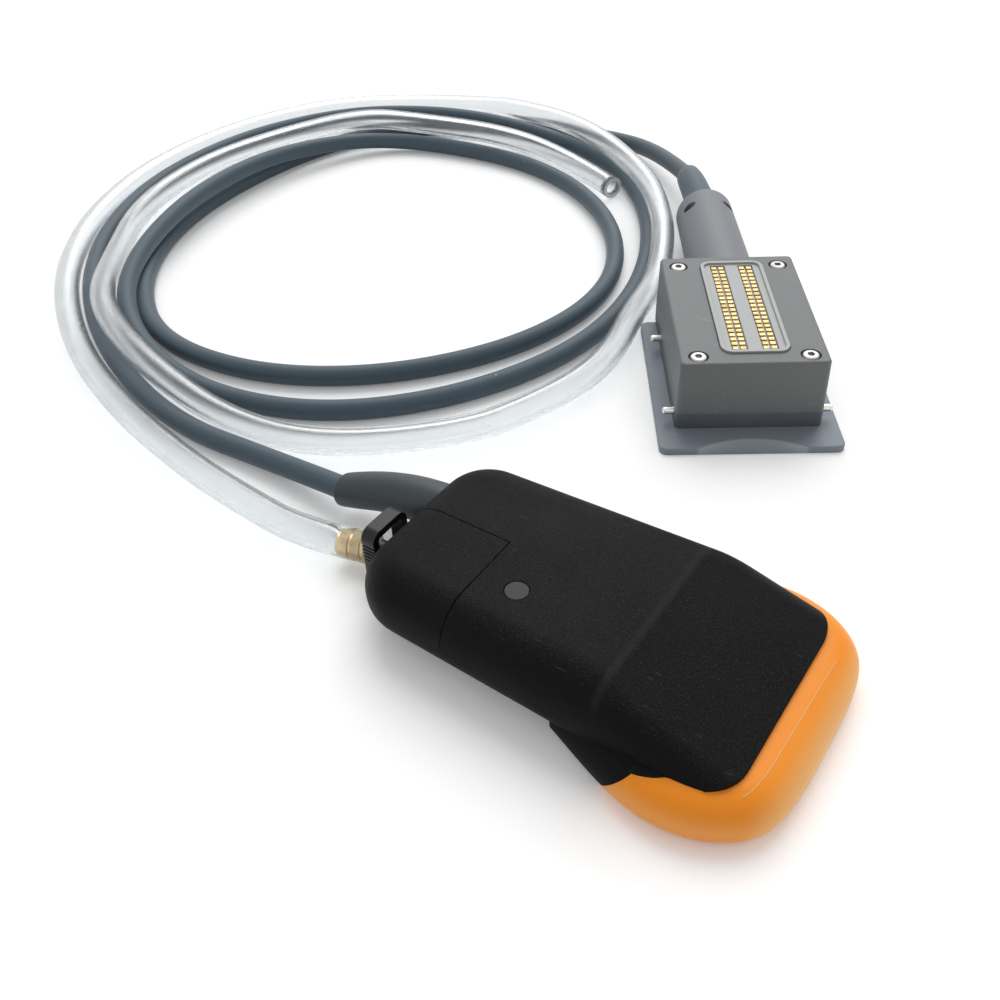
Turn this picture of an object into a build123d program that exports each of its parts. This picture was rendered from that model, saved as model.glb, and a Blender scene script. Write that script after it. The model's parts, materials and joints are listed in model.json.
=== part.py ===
from build123d import *
import os
from math import cos, pi, radians, sin, sqrt, tan

# Ultrasound transducer probe: a handset with an orange nose, its cable and clear
# coupling-fluid hose in a loose coil, and the flat connector at the cable's far end.
# Millimetres. +X runs along the handset towards the nose, +Z is up, and the origin is
# on the resting surface under the middle of the handset with its hose stem.

# Handset, main sizes
handset_length = 128.0
nose_reach = 11.7
slope_length = 36.3
slope_drop = 11.2
handle_rear_width = 62.4
handle_front_width = 71.2
handle_height = 24.0
handle_lift = 2.0
edge_round = 11.4
rear_corner_round = 16.0
front_corner_round = 12.0
crease_round = 8.0
shell_wall = 2.4
parting_height = 14.0
seam_gap = 0.3
fit_gap = 0.2
cut_margin = 20.0

# Handset head: the wide foot that carries the nose
foot_width = 82.6
foot_height = 13.6
foot_length = 61.0
foot_neck_width = 62.0
foot_top_round = 8.6
foot_bottom_round = 4.4
foot_run_in = 12.0
wing_reach = 26.5
wing_height = 11.8
wing_sweep = 11.5
lobe_reach = 35.0
# Stations of the foot's side as shares of its length in front of the neck,
# and half widths as shares of its greatest half width
foot_station_shares = (0.258, 0.545, 0.85, 0.95, 0.99)
foot_half_width_shares = (0.905, 1.0, 0.865, 0.70, 0.47)

# Rear cover, marker plug and shell screws
cover_length = 34.5
cover_edge_y = 0.6
plug_radius = 3.3
plug_depth = 1.4
plug_setback = 46.1
plug_y = -13.5
boss_radius = 3.6
shell_screw_radius = 1.25
shell_screw_head_radius = 2.3
shell_screw_head_height = 1.6
shell_screw_sink = 2.0
shell_screw_length = 13.0
screw_grip = 8.0
rear_boss_setback = 21.0
front_boss_setback = 73.0
rear_boss_y = 22.0
front_boss_y = 24.0

# Inner pieces of the handset
board_length = 58.0
board_width = 22.0
board_thickness = 1.6
board_height = 8.6
board_setback = 24.0
board_y = 9.2
post_radius = 2.6
array_depth = 11.0
array_width = 54.0
array_height = 8.4
duct_radius = 2.4
duct_bore_radius = 1.5
clamp_length = 8.0
clamp_width = 15.0
clamp_thickness = 3.0
clamp_rise = 7.0

# Cable boot on the handset
boot_y = 13.0
boot_height = 14.0
boot_neck_radius = 7.2
boot_neck_length = 7.0
boot_flange_radius = 8.0
boot_flange_thickness = 2.0
boot_lip_radius = 5.9
boot_bow_y = 1.3
boot_bow_height = 0.7
cable_radius = 3.85
# Sections of the boot between the housing and its lip: way along, bow, sideways
# and downward lean, and radius, each as a share
boot_section_shares = [
    (0.25, 0.7, 0.08, 0.10, 0.97),
    (0.52, 1.0, 0.20, 0.16, 0.90),
    (0.80, 0.5, 0.22, 0.20, 0.835),
]
boot_mouth_share = 0.94

# Hose coupling on the handset
hose_radius = 5.0
socket_y = -6.9
socket_height = 7.6
socket_radius = 4.4
socket_inner_length = 9.0
stem_radius = 3.4
stem_length = 8.0
socket_bore_radius = 1.8
barb_radius = 3.6
barb_core_radius = 2.9
barb_length = 13.0
barb_pitch = 4.0
barb_count = 3
barb_yaw = 14.0
barb_dip = 2.9
barb_cone_share = 0.8
ring_top_height = 21.4
ring_wall = 2.4
ring_band = 4.6
ring_stand_off = 2.2
ring_corner = 3.6
pad_height = 8.0
ring_offset = 0.2
ring_travel = 1.6
ridge_count = 6
ridge_depth = 0.5

# Connector, main sizes
connector_angle = 33.2
connector_front_x = -3.1
connector_front_y = 111.7
box_width = 50.0
box_length = 73.5
box_height = 28.3
box_wall = 2.4
box_corner = 1.8
box_top_round = 0.9
box_draft = 0.8
lower_height = 8.5
plate_width = 62.0
plate_thickness = 2.5
plate_overhang = 11.5
plate_rear = 70.0
plate_corner = 3.0
scallop_width = 38.0
scallop_reach = 5.5
scallop_depth = 1.2

# Contact face
insert_width = 23.0
insert_length = 62.0
insert_corner = 4.0
insert_u = 1.0
insert_v = 37.5
insert_depth = 7.0
insert_rim = 1.3
insert_rim_height = 0.7
strip_width = 5.4
strip_offset = 5.1
strip_depth = 0.9
contact_rows = 21
contact_columns = 2
contact_pitch_along = 2.72
contact_pitch_across = 2.6
contact_length = 1.7
contact_width = 1.9
contact_rise = 0.7
connector_board_thickness = 1.6

# Connector screws and pins
box_screw_radius = 1.5
box_screw_head_radius = 2.9
box_screw_head_height = 1.8
box_screw_sink_radius = 3.4
box_screw_sink = 1.5
box_screw_length = 17.0
box_screw_inset_u = 6.6
box_screw_front_inset = 5.0
box_screw_rear_inset = 7.5
box_boss_radius = 4.6
driver_recess_radius = 1.3
driver_recess_depth = 1.1
pin_radius = 1.3
pin_reach = 4.0
pin_height = 6.9
pin_front_v = 4.6
pin_rear_v = 50.6

# Cable barrel and strain relief on the connector
barrel_axis_u = 1.6
barrel_axis_height = 13.5
barrel_front_radius = 12.6
barrel_rear_radius = 12.0
barrel_end_v = 142.0
barrel_end_round = 4.0
barrel_bore_radius = 7.0
barrel_pocket_radius = 2.3
barrel_pocket_v = 129.0
barrel_pocket_u = 8.0
barrel_screw_radius = 1.1
barrel_screw_head_radius = 2.0
barrel_screw_head_height = 1.4
barrel_screw_length = 12.0
relief_root_radius = 6.8
relief_root_length = 5.0
relief_collar_radius = 8.2
relief_end_radius = 5.5
# Sections of the sleeve: way along, rise as a share of its length, and how far it has turned
relief_section_shares = [(0.30, 0.03, 0.15), (0.65, 0.03, 0.50)]

# Positions that follow from the sizes above
ring_width = 2 * (stem_radius + ring_wall + ring_travel + fit_gap)
rear_x = stem_length / 2 - handset_length / 2
front_x = rear_x + handset_length
foot_rear_x = front_x - foot_length
wing_x = foot_rear_x + wing_reach
lobe_x = foot_rear_x + lobe_reach
shell_front_x = front_x - nose_reach
crease_x = shell_front_x - slope_length
plug_x = rear_x + plug_setback
rear_boss_x = rear_x + rear_boss_setback
front_boss_x = rear_x + front_boss_setback
board_x = rear_x + board_setback + board_length / 2
handle_top = handle_lift + handle_height
seat_gap = seam_gap / 2

# Route of the cable, from the handset's boot to the connector's strain relief.
# Points chosen along the coil as it lies; humps pass over the strand below.
cable_route = [
    (-93.6, 8.1, 8.7),
    (-125.0, 10.2, 4.2),
    (-177.0, 6.5, 3.9),
    (-237.5, 27.0, 3.9),
    (-287.0, 59.0, 3.9),
    (-323.0, 102.0, 3.9),
    (-342.5, 153.5, 3.9),
    (-341.5, 207.0, 3.9),
    (-322.0, 247.5, 4.7),
    (-286.0, 264.5, 9.8),
    (-230.5, 273.0, 14.5),
    (-180.0, 282.5, 7.4),
    (-140.5, 271.0, 3.9),
    (-104.0, 231.5, 4.0),
    (-79.0, 177.0, 4.1),
    (-75.5, 123.5, 3.9),
    (-96.5, 73.0, 3.9),
    (-134.0, 37.0, 3.9),
    (-182.5, 25.0, 3.9),
    (-231.5, 37.0, 5.3),
    (-266.0, 63.0, 10.2),
    (-288.5, 114.5, 14.3),
    (-296.5, 170.5, 13.2),
    (-287.0, 217.0, 9.0),
    (-262.0, 248.5, 4.5),
    (-201.0, 258.5, 3.9),
    (-152.0, 245.5, 4.0),
    (-111.0, 212.5, 3.9),
    (-88.0, 166.0, 3.9),
    (-94.5, 115.5, 3.9),
    (-126.0, 70.5, 3.9),
    (-171.5, 43.5, 3.9),
    (-223.5, 41.5, 3.9),
    (-265.0, 69.5, 3.9),
    (-291.5, 111.0, 3.9),
    (-301.5, 162.0, 3.9),
    (-296.0, 220.0, 3.9),
    (-276.0, 257.5, 3.9),
    (-228.0, 292.5, 4.1),
    (-170.0, 306.0, 3.9),
    (-130.5, 291.0, 8.4),
    (-101.0, 260.2, 14.0),
]

# Route of the clear hose, from the barb round the coil to its open end
hose_route = [
    (-69.0, -7.1, 7.5),
    (-92.2, -12.9, 6.3),
    (-124.0, -10.5, 5.3),
    (-153.0, -7.1, 5.1),
    (-195.1, 1.8, 5.1),
    (-240.0, 18.0, 5.2),
    (-279.8, 42.1, 5.5),
    (-307.4, 67.0, 5.5),
    (-332.4, 100.5, 5.4),
    (-350.2, 145.2, 5.3),
    (-352.9, 191.0, 5.2),
    (-343.4, 233.5, 5.1),
    (-321.1, 269.7, 5.1),
    (-285.5, 292.7, 5.2),
    (-247.7, 297.9, 9.1),
    (-220.7, 296.6, 13.0),
    (-169.5, 285.5, 15.4),
    (-119.7, 253.3, 13.6),
    (-97.4, 226.9, 11.8),
    (-82.6, 200.7, 11.4),
    (-71.0, 172.4, 10.8),
    (-68.5, 147.8, 8.2),
    (-63.3, 126.1, 6.9),
    (-63.1, 104.7, 5.9),
    (-70.2, 80.9, 5.4),
    (-81.6, 56.2, 5.1),
    (-119.0, 24.0, 5.1),
    (-157.3, 16.5, 5.3),
    (-200.5, 21.0, 10.9),
    (-235.2, 32.3, 12.5),
    (-258.9, 45.9, 12.7),
    (-290.7, 77.5, 5.7),
    (-322.0, 119.5, 5.3),
    (-332.4, 172.9, 5.1),
    (-318.0, 220.0, 6.1),
    (-285.2, 244.0, 13.6),
    (-254.8, 253.3, 13.4),
    (-201.4, 262.4, 13.2),
    (-163.0, 263.4, 5.6),
    (-135.0, 249.6, 5.1),
]


def handle_plan(inset, front):
    """Plan of the handle drawn in by inset, with round rear corners, reaching forward to front."""
    slant = (handle_front_width - handle_rear_width) / 2 / (shell_front_x - rear_x)
    rear_half = handle_rear_width / 2 - inset
    front_half = rear_half + slant * (front - rear_x)
    with BuildSketch() as plan:
        with BuildLine():
            Polyline(
                (rear_x + inset, -rear_half),
                (front, -front_half),
                (front, front_half),
                (rear_x + inset, rear_half),
                close=True,
            )
        make_face()
        fillet(plan.vertices().sort_by(Axis.X)[:2], rear_corner_round - inset)
    return plan.sketch


def handle_form(inset):
    """Rounded handle drawn in by inset: the top with its sloping face, met by the round underside."""
    top = handle_top - inset
    slope = slope_drop / slope_length
    reach = shell_front_x + cut_margin
    with BuildPart() as crown:
        with BuildSketch(Plane.XY.offset(-cut_margin)):
            add(handle_plan(inset, reach))
        extrude(amount=cut_margin + top)
        top_rim = crown.faces().sort_by(Axis.Z)[-1].edges()
        fillet(top_rim.sort_by(Axis.X)[:-1], edge_round - inset)
        with BuildSketch(Plane.XZ):
            with BuildLine():
                Polyline(
                    (crease_x, top),
                    (reach, top - slope * (reach - crease_x)),
                    (reach, top + cut_margin),
                    (crease_x, top + cut_margin),
                    close=True,
                )
            make_face()
        extrude(amount=handle_front_width, both=True, mode=Mode.SUBTRACT)
        flat_top, sloping_top = crown.faces().sort_by(Axis.Z)[-1:-3:-1]
        slope_rim = [e for e in sloping_top.edges() if e.center().X < shell_front_x]
        fillet(slope_rim, crease_round - inset)
    with BuildPart() as form:
        with BuildSketch(Plane.XY.offset(handle_lift + inset)) as base:
            add(handle_plan(inset, shell_front_x - inset))
            fillet(base.vertices().sort_by(Axis.X)[-2:], front_corner_round - inset)
        extrude(amount=handle_height)
        fillet(form.edges().group_by(Axis.Z)[0], edge_round - inset)
        add(crown.part, mode=Mode.INTERSECT)
    return form.part


def foot_form(inset):
    """Wide foot under the head, drawn in by inset, with a large rounding on its upper edge."""
    half = foot_width / 2
    side = [
        (foot_rear_x + (foot_length - inset) * share, half * width_share - inset)
        for share, width_share in zip(foot_station_shares, foot_half_width_shares)
    ]
    neck = (foot_rear_x, foot_neck_width / 2 - inset)
    tip = (front_x - inset, 0)
    far_side = [(x, -y) for x, y in reversed([neck] + side)]
    with BuildPart() as form:
        with BuildSketch(Plane.XY.offset(inset)):
            with BuildLine():
                rim = Spline(neck, *side, tip, *far_side)
                Line(rim @ 1, rim @ 0)
            make_face()
        extrude(amount=foot_height - 2 * inset)
        rims = form.edges().filter_by(Plane.XY).sort_by(SortBy.LENGTH)[-2:].sort_by(Axis.Z)
        fillet(rims[1], foot_top_round - inset)
        long_edges = form.edges().sort_by(SortBy.LENGTH)[-8:]
        lower_rim = long_edges.group_by(Axis.Z)[0].sort_by(SortBy.LENGTH)[-1]
        fillet(lower_rim, foot_bottom_round - inset)
        with BuildSketch(Plane.XZ):
            with BuildLine():
                Polyline(
                    (foot_rear_x - fit_gap, handle_lift + inset),
                    (foot_rear_x + foot_run_in, inset - fit_gap),
                    (foot_rear_x - fit_gap, inset - fit_gap),
                    close=True,
                )
            make_face()
        extrude(amount=foot_width, both=True, mode=Mode.SUBTRACT)
    return form.part


def envelope(inset):
    """Closed outer form of the handset, drawn in by inset on every side."""
    handle = handle_form(inset)
    foot = foot_form(inset)
    with BuildPart() as form:
        add(handle)
        add(foot)
    return form.part


def cord_radii(route):
    """Largest tangent arc at each inner point: 0.45 of the shorter run over tan of half the turn."""
    points = [Vector(*place) for place in route]
    radii = []
    for before, here, after in zip(points, points[1:], points[2:]):
        run_in = here - before
        run_out = after - here
        half_turn = radians(run_in.get_angle(run_out)) / 2
        radii.append(0.45 * min(run_in.length, run_out.length) / tan(half_turn))
    return radii


def cord_part(route, radius):
    """Plain round tube along straight runs joined by tangent arcs."""
    with BuildPart() as cord:
        with BuildLine() as path:
            FilletPolyline(*route, radius=cord_radii(route))
        with BuildSketch(Plane(origin=path.line @ 0, z_dir=path.line % 0)):
            Circle(radius)
        sweep()
    return cord.part, sum(edge.length for edge in path.edges())


outer_form = envelope(0)
inner_form = envelope(shell_wall)

with BuildPart() as hollow_form:
    add(outer_form)
    add(inner_form, mode=Mode.SUBTRACT)

# Outlines, seen from the side, of the zones that the three housing pieces fill
far = handset_length
head_top = handle_top + cut_margin
wing_heel_x = wing_x - wing_sweep
upper_zone = [
    (-far, parting_height),
    (foot_rear_x, parting_height),
    (wing_x, wing_height),
    (lobe_x, foot_height),
    (shell_front_x + seat_gap, foot_height),
    (shell_front_x + seat_gap, head_top),
    (-far, head_top),
]
lower_zone = [
    (-far, parting_height),
    (foot_rear_x, parting_height),
    (wing_x, wing_height),
    (wing_heel_x, -shell_wall),
    (-far, -shell_wall),
]
nose_zone = [
    (wing_x, wing_height),
    (lobe_x, foot_height),
    (shell_front_x + seat_gap, foot_height),
    (shell_front_x + seat_gap, head_top),
    (far, head_top),
    (far, -shell_wall),
    (wing_heel_x, -shell_wall),
]
boss_places = [
    (rear_boss_x, -rear_boss_y),
    (rear_boss_x, rear_boss_y),
    (front_boss_x, -front_boss_y),
    (front_boss_x, front_boss_y),
]
post_reach_x = board_length / 2 - 2 * post_radius
post_reach_y = board_width / 2 - post_radius
post_places = [
    (board_x + side_x * post_reach_x, board_y + side_y * post_reach_y)
    for side_x in (-1, 1)
    for side_y in (-1, 1)
]
screw_seat_height = handle_lift + shell_screw_sink

with BuildPart() as upper_bosses:
    with BuildSketch(Plane.XY.offset(parting_height)):
        with Locations(*boss_places):
            Circle(boss_radius)
    extrude(amount=handle_height)
    add(inner_form, mode=Mode.INTERSECT)

with BuildPart() as lower_bosses:
    with BuildSketch():
        with Locations(*boss_places):
            Circle(boss_radius)
    extrude(amount=parting_height)
    with BuildSketch():
        with Locations(*post_places):
            Circle(post_radius)
    extrude(amount=board_height)
    add(inner_form, mode=Mode.INTERSECT)

# Upper half of the housing, before the rear cover is parted from it
with BuildPart() as upper_half:
    add(hollow_form.part)
    with BuildSketch(Plane.XZ):
        with BuildLine():
            Polyline(*upper_zone, close=True)
        make_face()
    extrude(amount=foot_width, both=True, mode=Mode.INTERSECT)
    add(upper_bosses.part)
    with BuildSketch(Plane.XY.offset(parting_height)):
        with Locations(*boss_places):
            Circle(shell_screw_radius)
    extrude(amount=screw_grip, mode=Mode.SUBTRACT)
    with BuildSketch(Plane.YZ.offset(rear_x - cut_margin)):
        with Locations((boot_y, boot_height)):
            Circle(boot_neck_radius + fit_gap)
        with Locations((socket_y, socket_height)):
            Circle(socket_radius + fit_gap)
    extrude(amount=cut_margin + socket_inner_length + fit_gap, mode=Mode.SUBTRACT)

cover_front_x = rear_x + cover_length
cover_depth = handle_top - parting_height

# Rear cover: the near rear quarter of the top, over the hose inlet
with BuildPart() as rear_cover:
    add(upper_half.part)
    with BuildSketch(Plane.XY.offset(parting_height)):
        with Locations((cover_front_x - cut_margin - seat_gap, cover_edge_y - cut_margin - seat_gap)):
            Rectangle(2 * cut_margin, 2 * cut_margin)
        with Locations((rear_x, cover_edge_y - cut_margin - seat_gap)):
            Rectangle(2 * cut_margin, 2 * cut_margin)
    extrude(amount=2 * cover_depth, mode=Mode.INTERSECT)

with BuildPart() as top_shell:
    add(upper_half.part)
    with BuildSketch(Plane.XY.offset(parting_height - cut_margin)):
        with Locations((cover_front_x - far / 2 + seat_gap, cover_edge_y - far / 2 + seat_gap)):
            Rectangle(far, far)
    extrude(amount=3 * cut_margin, mode=Mode.SUBTRACT)
    with BuildSketch(Plane.XY.offset(handle_top)):
        with Locations((plug_x, plug_y)):
            Circle(plug_radius + fit_gap)
    extrude(amount=-plug_depth, mode=Mode.SUBTRACT)

with BuildPart() as bottom_shell:
    add(hollow_form.part)
    with BuildSketch(Plane.XZ):
        with BuildLine():
            Polyline(*lower_zone, close=True)
        make_face()
    extrude(amount=foot_width, both=True, mode=Mode.INTERSECT)
    add(lower_bosses.part)
    with BuildSketch():
        with Locations(*boss_places):
            Circle(shell_screw_radius + fit_gap)
    extrude(amount=parting_height, mode=Mode.SUBTRACT)
    with BuildSketch():
        with Locations(*boss_places):
            Circle(shell_screw_head_radius + fit_gap)
    extrude(amount=screw_seat_height, mode=Mode.SUBTRACT)
    with BuildSketch(Plane.YZ.offset(rear_x - cut_margin)):
        with Locations((boot_y, boot_height)):
            Circle(boot_neck_radius + fit_gap)
        with Locations((socket_y, socket_height)):
            Circle(socket_radius + fit_gap)
    extrude(amount=cut_margin + socket_inner_length + fit_gap, mode=Mode.SUBTRACT)

# Orange nose: one moulded cap round the front and underside of the head
with BuildPart() as nose_cap:
    add(hollow_form.part)
    with BuildSketch(Plane.XZ):
        with BuildLine():
            Polyline(*nose_zone, close=True)
        make_face()
    extrude(amount=foot_width, both=True, mode=Mode.INTERSECT)

with BuildPart() as marker_plug:
    with BuildSketch(Plane.XY.offset(handle_top - plug_depth)):
        with Locations((plug_x, plug_y)):
            Circle(plug_radius)
    extrude(amount=plug_depth)
    fillet(marker_plug.edges().group_by(Axis.Z)[-1], fit_gap)

with BuildPart() as shell_screws:
    with BuildSketch(Plane.XY.offset(screw_seat_height - shell_screw_head_height)):
        with Locations(*boss_places):
            Circle(shell_screw_head_radius)
            RegularPolygon(shell_screw_radius, 6, mode=Mode.SUBTRACT)
    extrude(amount=shell_screw_head_height)
    with BuildSketch(Plane.XY.offset(screw_seat_height)):
        with Locations(*boss_places):
            Circle(shell_screw_radius)
    extrude(amount=shell_screw_length)

# Inner pieces: transducer array, signal board, cable clamp and fluid duct
array_front_x = front_x - shell_wall - fit_gap
with BuildPart() as array_module:
    with BuildSketch(Plane.XY.offset(shell_wall)):
        with BuildLine():
            front_arc = ThreePointArc(
                (array_front_x - fit_gap, -array_width / 2),
                (array_front_x, 0),
                (array_front_x - fit_gap, array_width / 2),
            )
            Polyline(
                front_arc @ 1,
                (array_front_x - array_depth, array_width / 2),
                (array_front_x - array_depth, -array_width / 2),
                front_arc @ 0,
            )
        make_face()
    extrude(amount=array_height)
    add(inner_form, mode=Mode.INTERSECT)

with BuildPart() as signal_board:
    with BuildSketch(Plane.XY.offset(board_height)):
        with Locations((board_x, board_y)):
            Rectangle(board_length, board_width)
    extrude(amount=board_thickness)

board_top = board_height + board_thickness
board_rear_x = board_x - board_length / 2
with BuildPart() as cable_clamp:
    with BuildSketch(Plane.YZ.offset(board_rear_x + clamp_thickness)):
        with Locations((boot_y, board_top + clamp_rise / 2)):
            Rectangle(clamp_width - 2 * clamp_thickness, clamp_rise)
        with Locations((boot_y, board_top + clamp_rise)):
            Circle(cable_radius + fit_gap, mode=Mode.SUBTRACT)
    extrude(amount=clamp_length)

duct_start_x = rear_x + socket_inner_length
duct_end_x = array_front_x - array_depth
with BuildPart() as fluid_duct:
    with BuildSketch(Plane.YZ.offset(duct_start_x)):
        with Locations((socket_y, socket_height)):
            Circle(duct_radius)
            Circle(duct_bore_radius, mode=Mode.SUBTRACT)
    extrude(amount=duct_end_x - duct_start_x)

# Cable boot: flange and neck held in the housing, then a curved taper with a lip
boot_root = Vector(rear_x, boot_y, boot_height)
cable_start = Vector(*cable_route[0])
cable_heading = (Vector(*cable_route[0]) - Vector(*cable_route[1])).normalized()
boot_drop = boot_root - cable_start
boot_lift = Vector(0, boot_bow_y, boot_bow_height)
with BuildPart() as cable_boot:
    with BuildSketch(Plane.YZ.offset(rear_x + boot_neck_length)):
        with Locations((boot_y, boot_height)):
            Circle(boot_neck_radius)
            Circle(cable_radius, mode=Mode.SUBTRACT)
    extrude(amount=-boot_neck_length)
    with BuildSketch(Plane.YZ.offset(rear_x + boot_neck_length)):
        with Locations((boot_y, boot_height)):
            Circle(boot_flange_radius)
            Circle(cable_radius, mode=Mode.SUBTRACT)
    extrude(amount=boot_flange_thickness)
    with BuildSketch(Plane(origin=boot_root, z_dir=(-1, 0, 0))):
        Circle(boot_neck_radius)
    for way, bow, side_lean, down_lean, radius_share in boot_section_shares:
        section_place = boot_root - boot_drop * way + boot_lift * bow
        with BuildSketch(Plane(origin=section_place, z_dir=(-1, -side_lean, -down_lean))):
            Circle(boot_neck_radius * radius_share)
    with BuildSketch(Plane(origin=cable_start, z_dir=-cable_heading)):
        Circle(boot_lip_radius * boot_mouth_share)
    loft()

# Hose socket: a turned stem through the rear wall, open for the fluid
stem_end_x = rear_x - stem_length
with BuildPart() as hose_socket:
    with BuildSketch(Plane.YZ.offset(rear_x + socket_inner_length)):
        with Locations((socket_y, socket_height)):
            Circle(socket_radius)
    extrude(amount=-socket_inner_length)
    with BuildSketch(Plane.YZ.offset(rear_x)):
        with Locations((socket_y, socket_height)):
            Circle(stem_radius)
    extrude(amount=-stem_length)
    with BuildSketch(Plane.YZ.offset(stem_end_x)):
        with Locations((socket_y, socket_height)):
            Circle(socket_bore_radius)
    extrude(amount=stem_length + socket_inner_length, mode=Mode.SUBTRACT)

# Brass barb: a core with coned rings that the hose is pushed over, set askew on the stem
barb_heading = Vector(-1, 0, 0).rotate(Axis.Z, barb_yaw).rotate(Axis.Y, -barb_dip)
barb_plane = Plane(origin=(stem_end_x, socket_y, socket_height), z_dir=barb_heading)
barb_lead = stem_radius * sin(radians(barb_yaw + barb_dip))
with BuildPart() as hose_barb:
    with BuildSketch(Plane(barb_plane.origin, x_dir=barb_plane.x_dir, z_dir=-barb_plane.y_dir)):
        with BuildLine():
            rings = []
            for index in range(barb_count):
                ring_start = barb_lead + index * barb_pitch
                rings.append((barb_core_radius, ring_start))
                rings.append((barb_radius, ring_start))
                rings.append((barb_core_radius, ring_start + barb_pitch * barb_cone_share))
            Polyline(
                (socket_bore_radius, 0),
                (barb_core_radius, 0),
                *rings,
                (barb_core_radius, barb_length),
                (socket_bore_radius, barb_length),
                close=True,
            )
        make_face()
    revolve(axis=Axis(barb_plane.origin, barb_heading))
    with BuildSketch(Plane.YZ.offset(stem_end_x)):
        with Locations((socket_y, socket_height)):
            Circle(2 * stem_radius)
    extrude(amount=barb_length, mode=Mode.SUBTRACT)

# Latch ring: an upright oval band that slides across the stem, with a ridged thumb pad
ring_front_x = rear_x - ring_stand_off
ring_center_y = socket_y - ring_offset
opening_floor = socket_height - stem_radius - fit_gap
opening_top = ring_top_height - ring_wall
opening_width = ring_width - 2 * ring_wall
ring_height = ring_top_height - opening_floor + ring_wall
ring_center_height = ring_top_height - ring_height / 2
pad_outer_y = ring_center_y - ring_width / 2
pad_center_height = ring_top_height - ring_corner - pad_height / 2
with BuildPart() as latch_ring:
    with BuildSketch(Plane.YZ.offset(ring_front_x)):
        with Locations((ring_center_y, ring_center_height)):
            RectangleRounded(ring_width, ring_height, ring_corner)
        with Locations((ring_center_y, (opening_floor + opening_top) / 2)):
            RectangleRounded(
                opening_width, opening_top - opening_floor, ring_corner - ring_wall, mode=Mode.SUBTRACT
            )
    extrude(amount=-ring_band)
    with BuildSketch(Plane.YZ.offset(ring_front_x)):
        for index in range(ridge_count - 1):
            groove_height = pad_center_height + pad_height * ((index + 1) / ridge_count - 0.5)
            with Locations((pad_outer_y, groove_height)):
                Rectangle(2 * ridge_depth, pad_height / ridge_count / 2)
    extrude(amount=-ring_band, mode=Mode.SUBTRACT)

# Connector: planes for its base and for sections across its length
connector = Plane(
    origin=(connector_front_x, connector_front_y, 0),
    x_dir=(cos(radians(connector_angle)), sin(radians(connector_angle)), 0),
    z_dir=(0, 0, 1),
)
along = connector.y_dir
across = connector.x_dir


def connector_point(across_distance, along_distance, height):
    """Place on the connector, given across, along and up from the middle of its front edge."""
    return connector.origin + across * across_distance + along * along_distance + Vector(0, 0, height)


box_center_v = box_length / 2
screw_places = [
    (side * (box_width / 2 - box_screw_inset_u), place)
    for side in (-1, 1)
    for place in (box_screw_front_inset, box_length - box_screw_rear_inset)
]
plate_length = plate_rear + plate_overhang
with BuildPart() as base_plate:
    with BuildSketch(connector):
        with Locations((0, (plate_rear - plate_overhang) / 2)):
            RectangleRounded(plate_width, plate_length, plate_corner)
    extrude(amount=plate_thickness)
    fillet(base_plate.edges().group_by(Axis.Z)[-1], plate_thickness / 4)
    scallop_radius = (scallop_width**2 / 4 + scallop_reach**2) / (2 * scallop_reach)
    edge_distance = scallop_radius - scallop_reach
    ball_height = (scallop_radius**2 - edge_distance**2 - scallop_depth**2) / (2 * scallop_depth)
    with Locations(connector_point(0, -plate_overhang - edge_distance, plate_thickness + ball_height)):
        Sphere(sqrt(scallop_radius**2 + ball_height**2), mode=Mode.SUBTRACT)

with BuildPart() as lower_housing:
    with BuildSketch(connector.offset(plate_thickness)):
        with Locations((0, box_center_v)):
            RectangleRounded(box_width, box_length, box_corner)
    extrude(amount=lower_height - plate_thickness)
    with BuildSketch(connector.offset(plate_thickness + box_wall / 2)):
        with Locations((0, box_center_v)):
            RectangleRounded(box_width - 2 * box_wall, box_length - 2 * box_wall, box_corner)
    extrude(amount=lower_height, mode=Mode.SUBTRACT)
    with BuildSketch(connector.offset(plate_thickness)):
        with Locations(*screw_places):
            Circle(box_boss_radius)
    extrude(amount=lower_height - plate_thickness)
    with BuildSketch(connector.offset(lower_height)):
        with Locations(*screw_places):
            Circle(box_screw_radius)
    extrude(amount=-(lower_height - plate_thickness - box_wall / 2), mode=Mode.SUBTRACT)
    for side in (-1, 1):
        for place in (pin_front_v, pin_rear_v):
            mouth = connector_point(side * (box_width / 2 + box_wall), place, pin_height)
            with BuildSketch(Plane(origin=mouth, z_dir=across * -side)):
                Circle(pin_radius)
            extrude(amount=2 * box_wall + fit_gap, mode=Mode.SUBTRACT)

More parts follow.
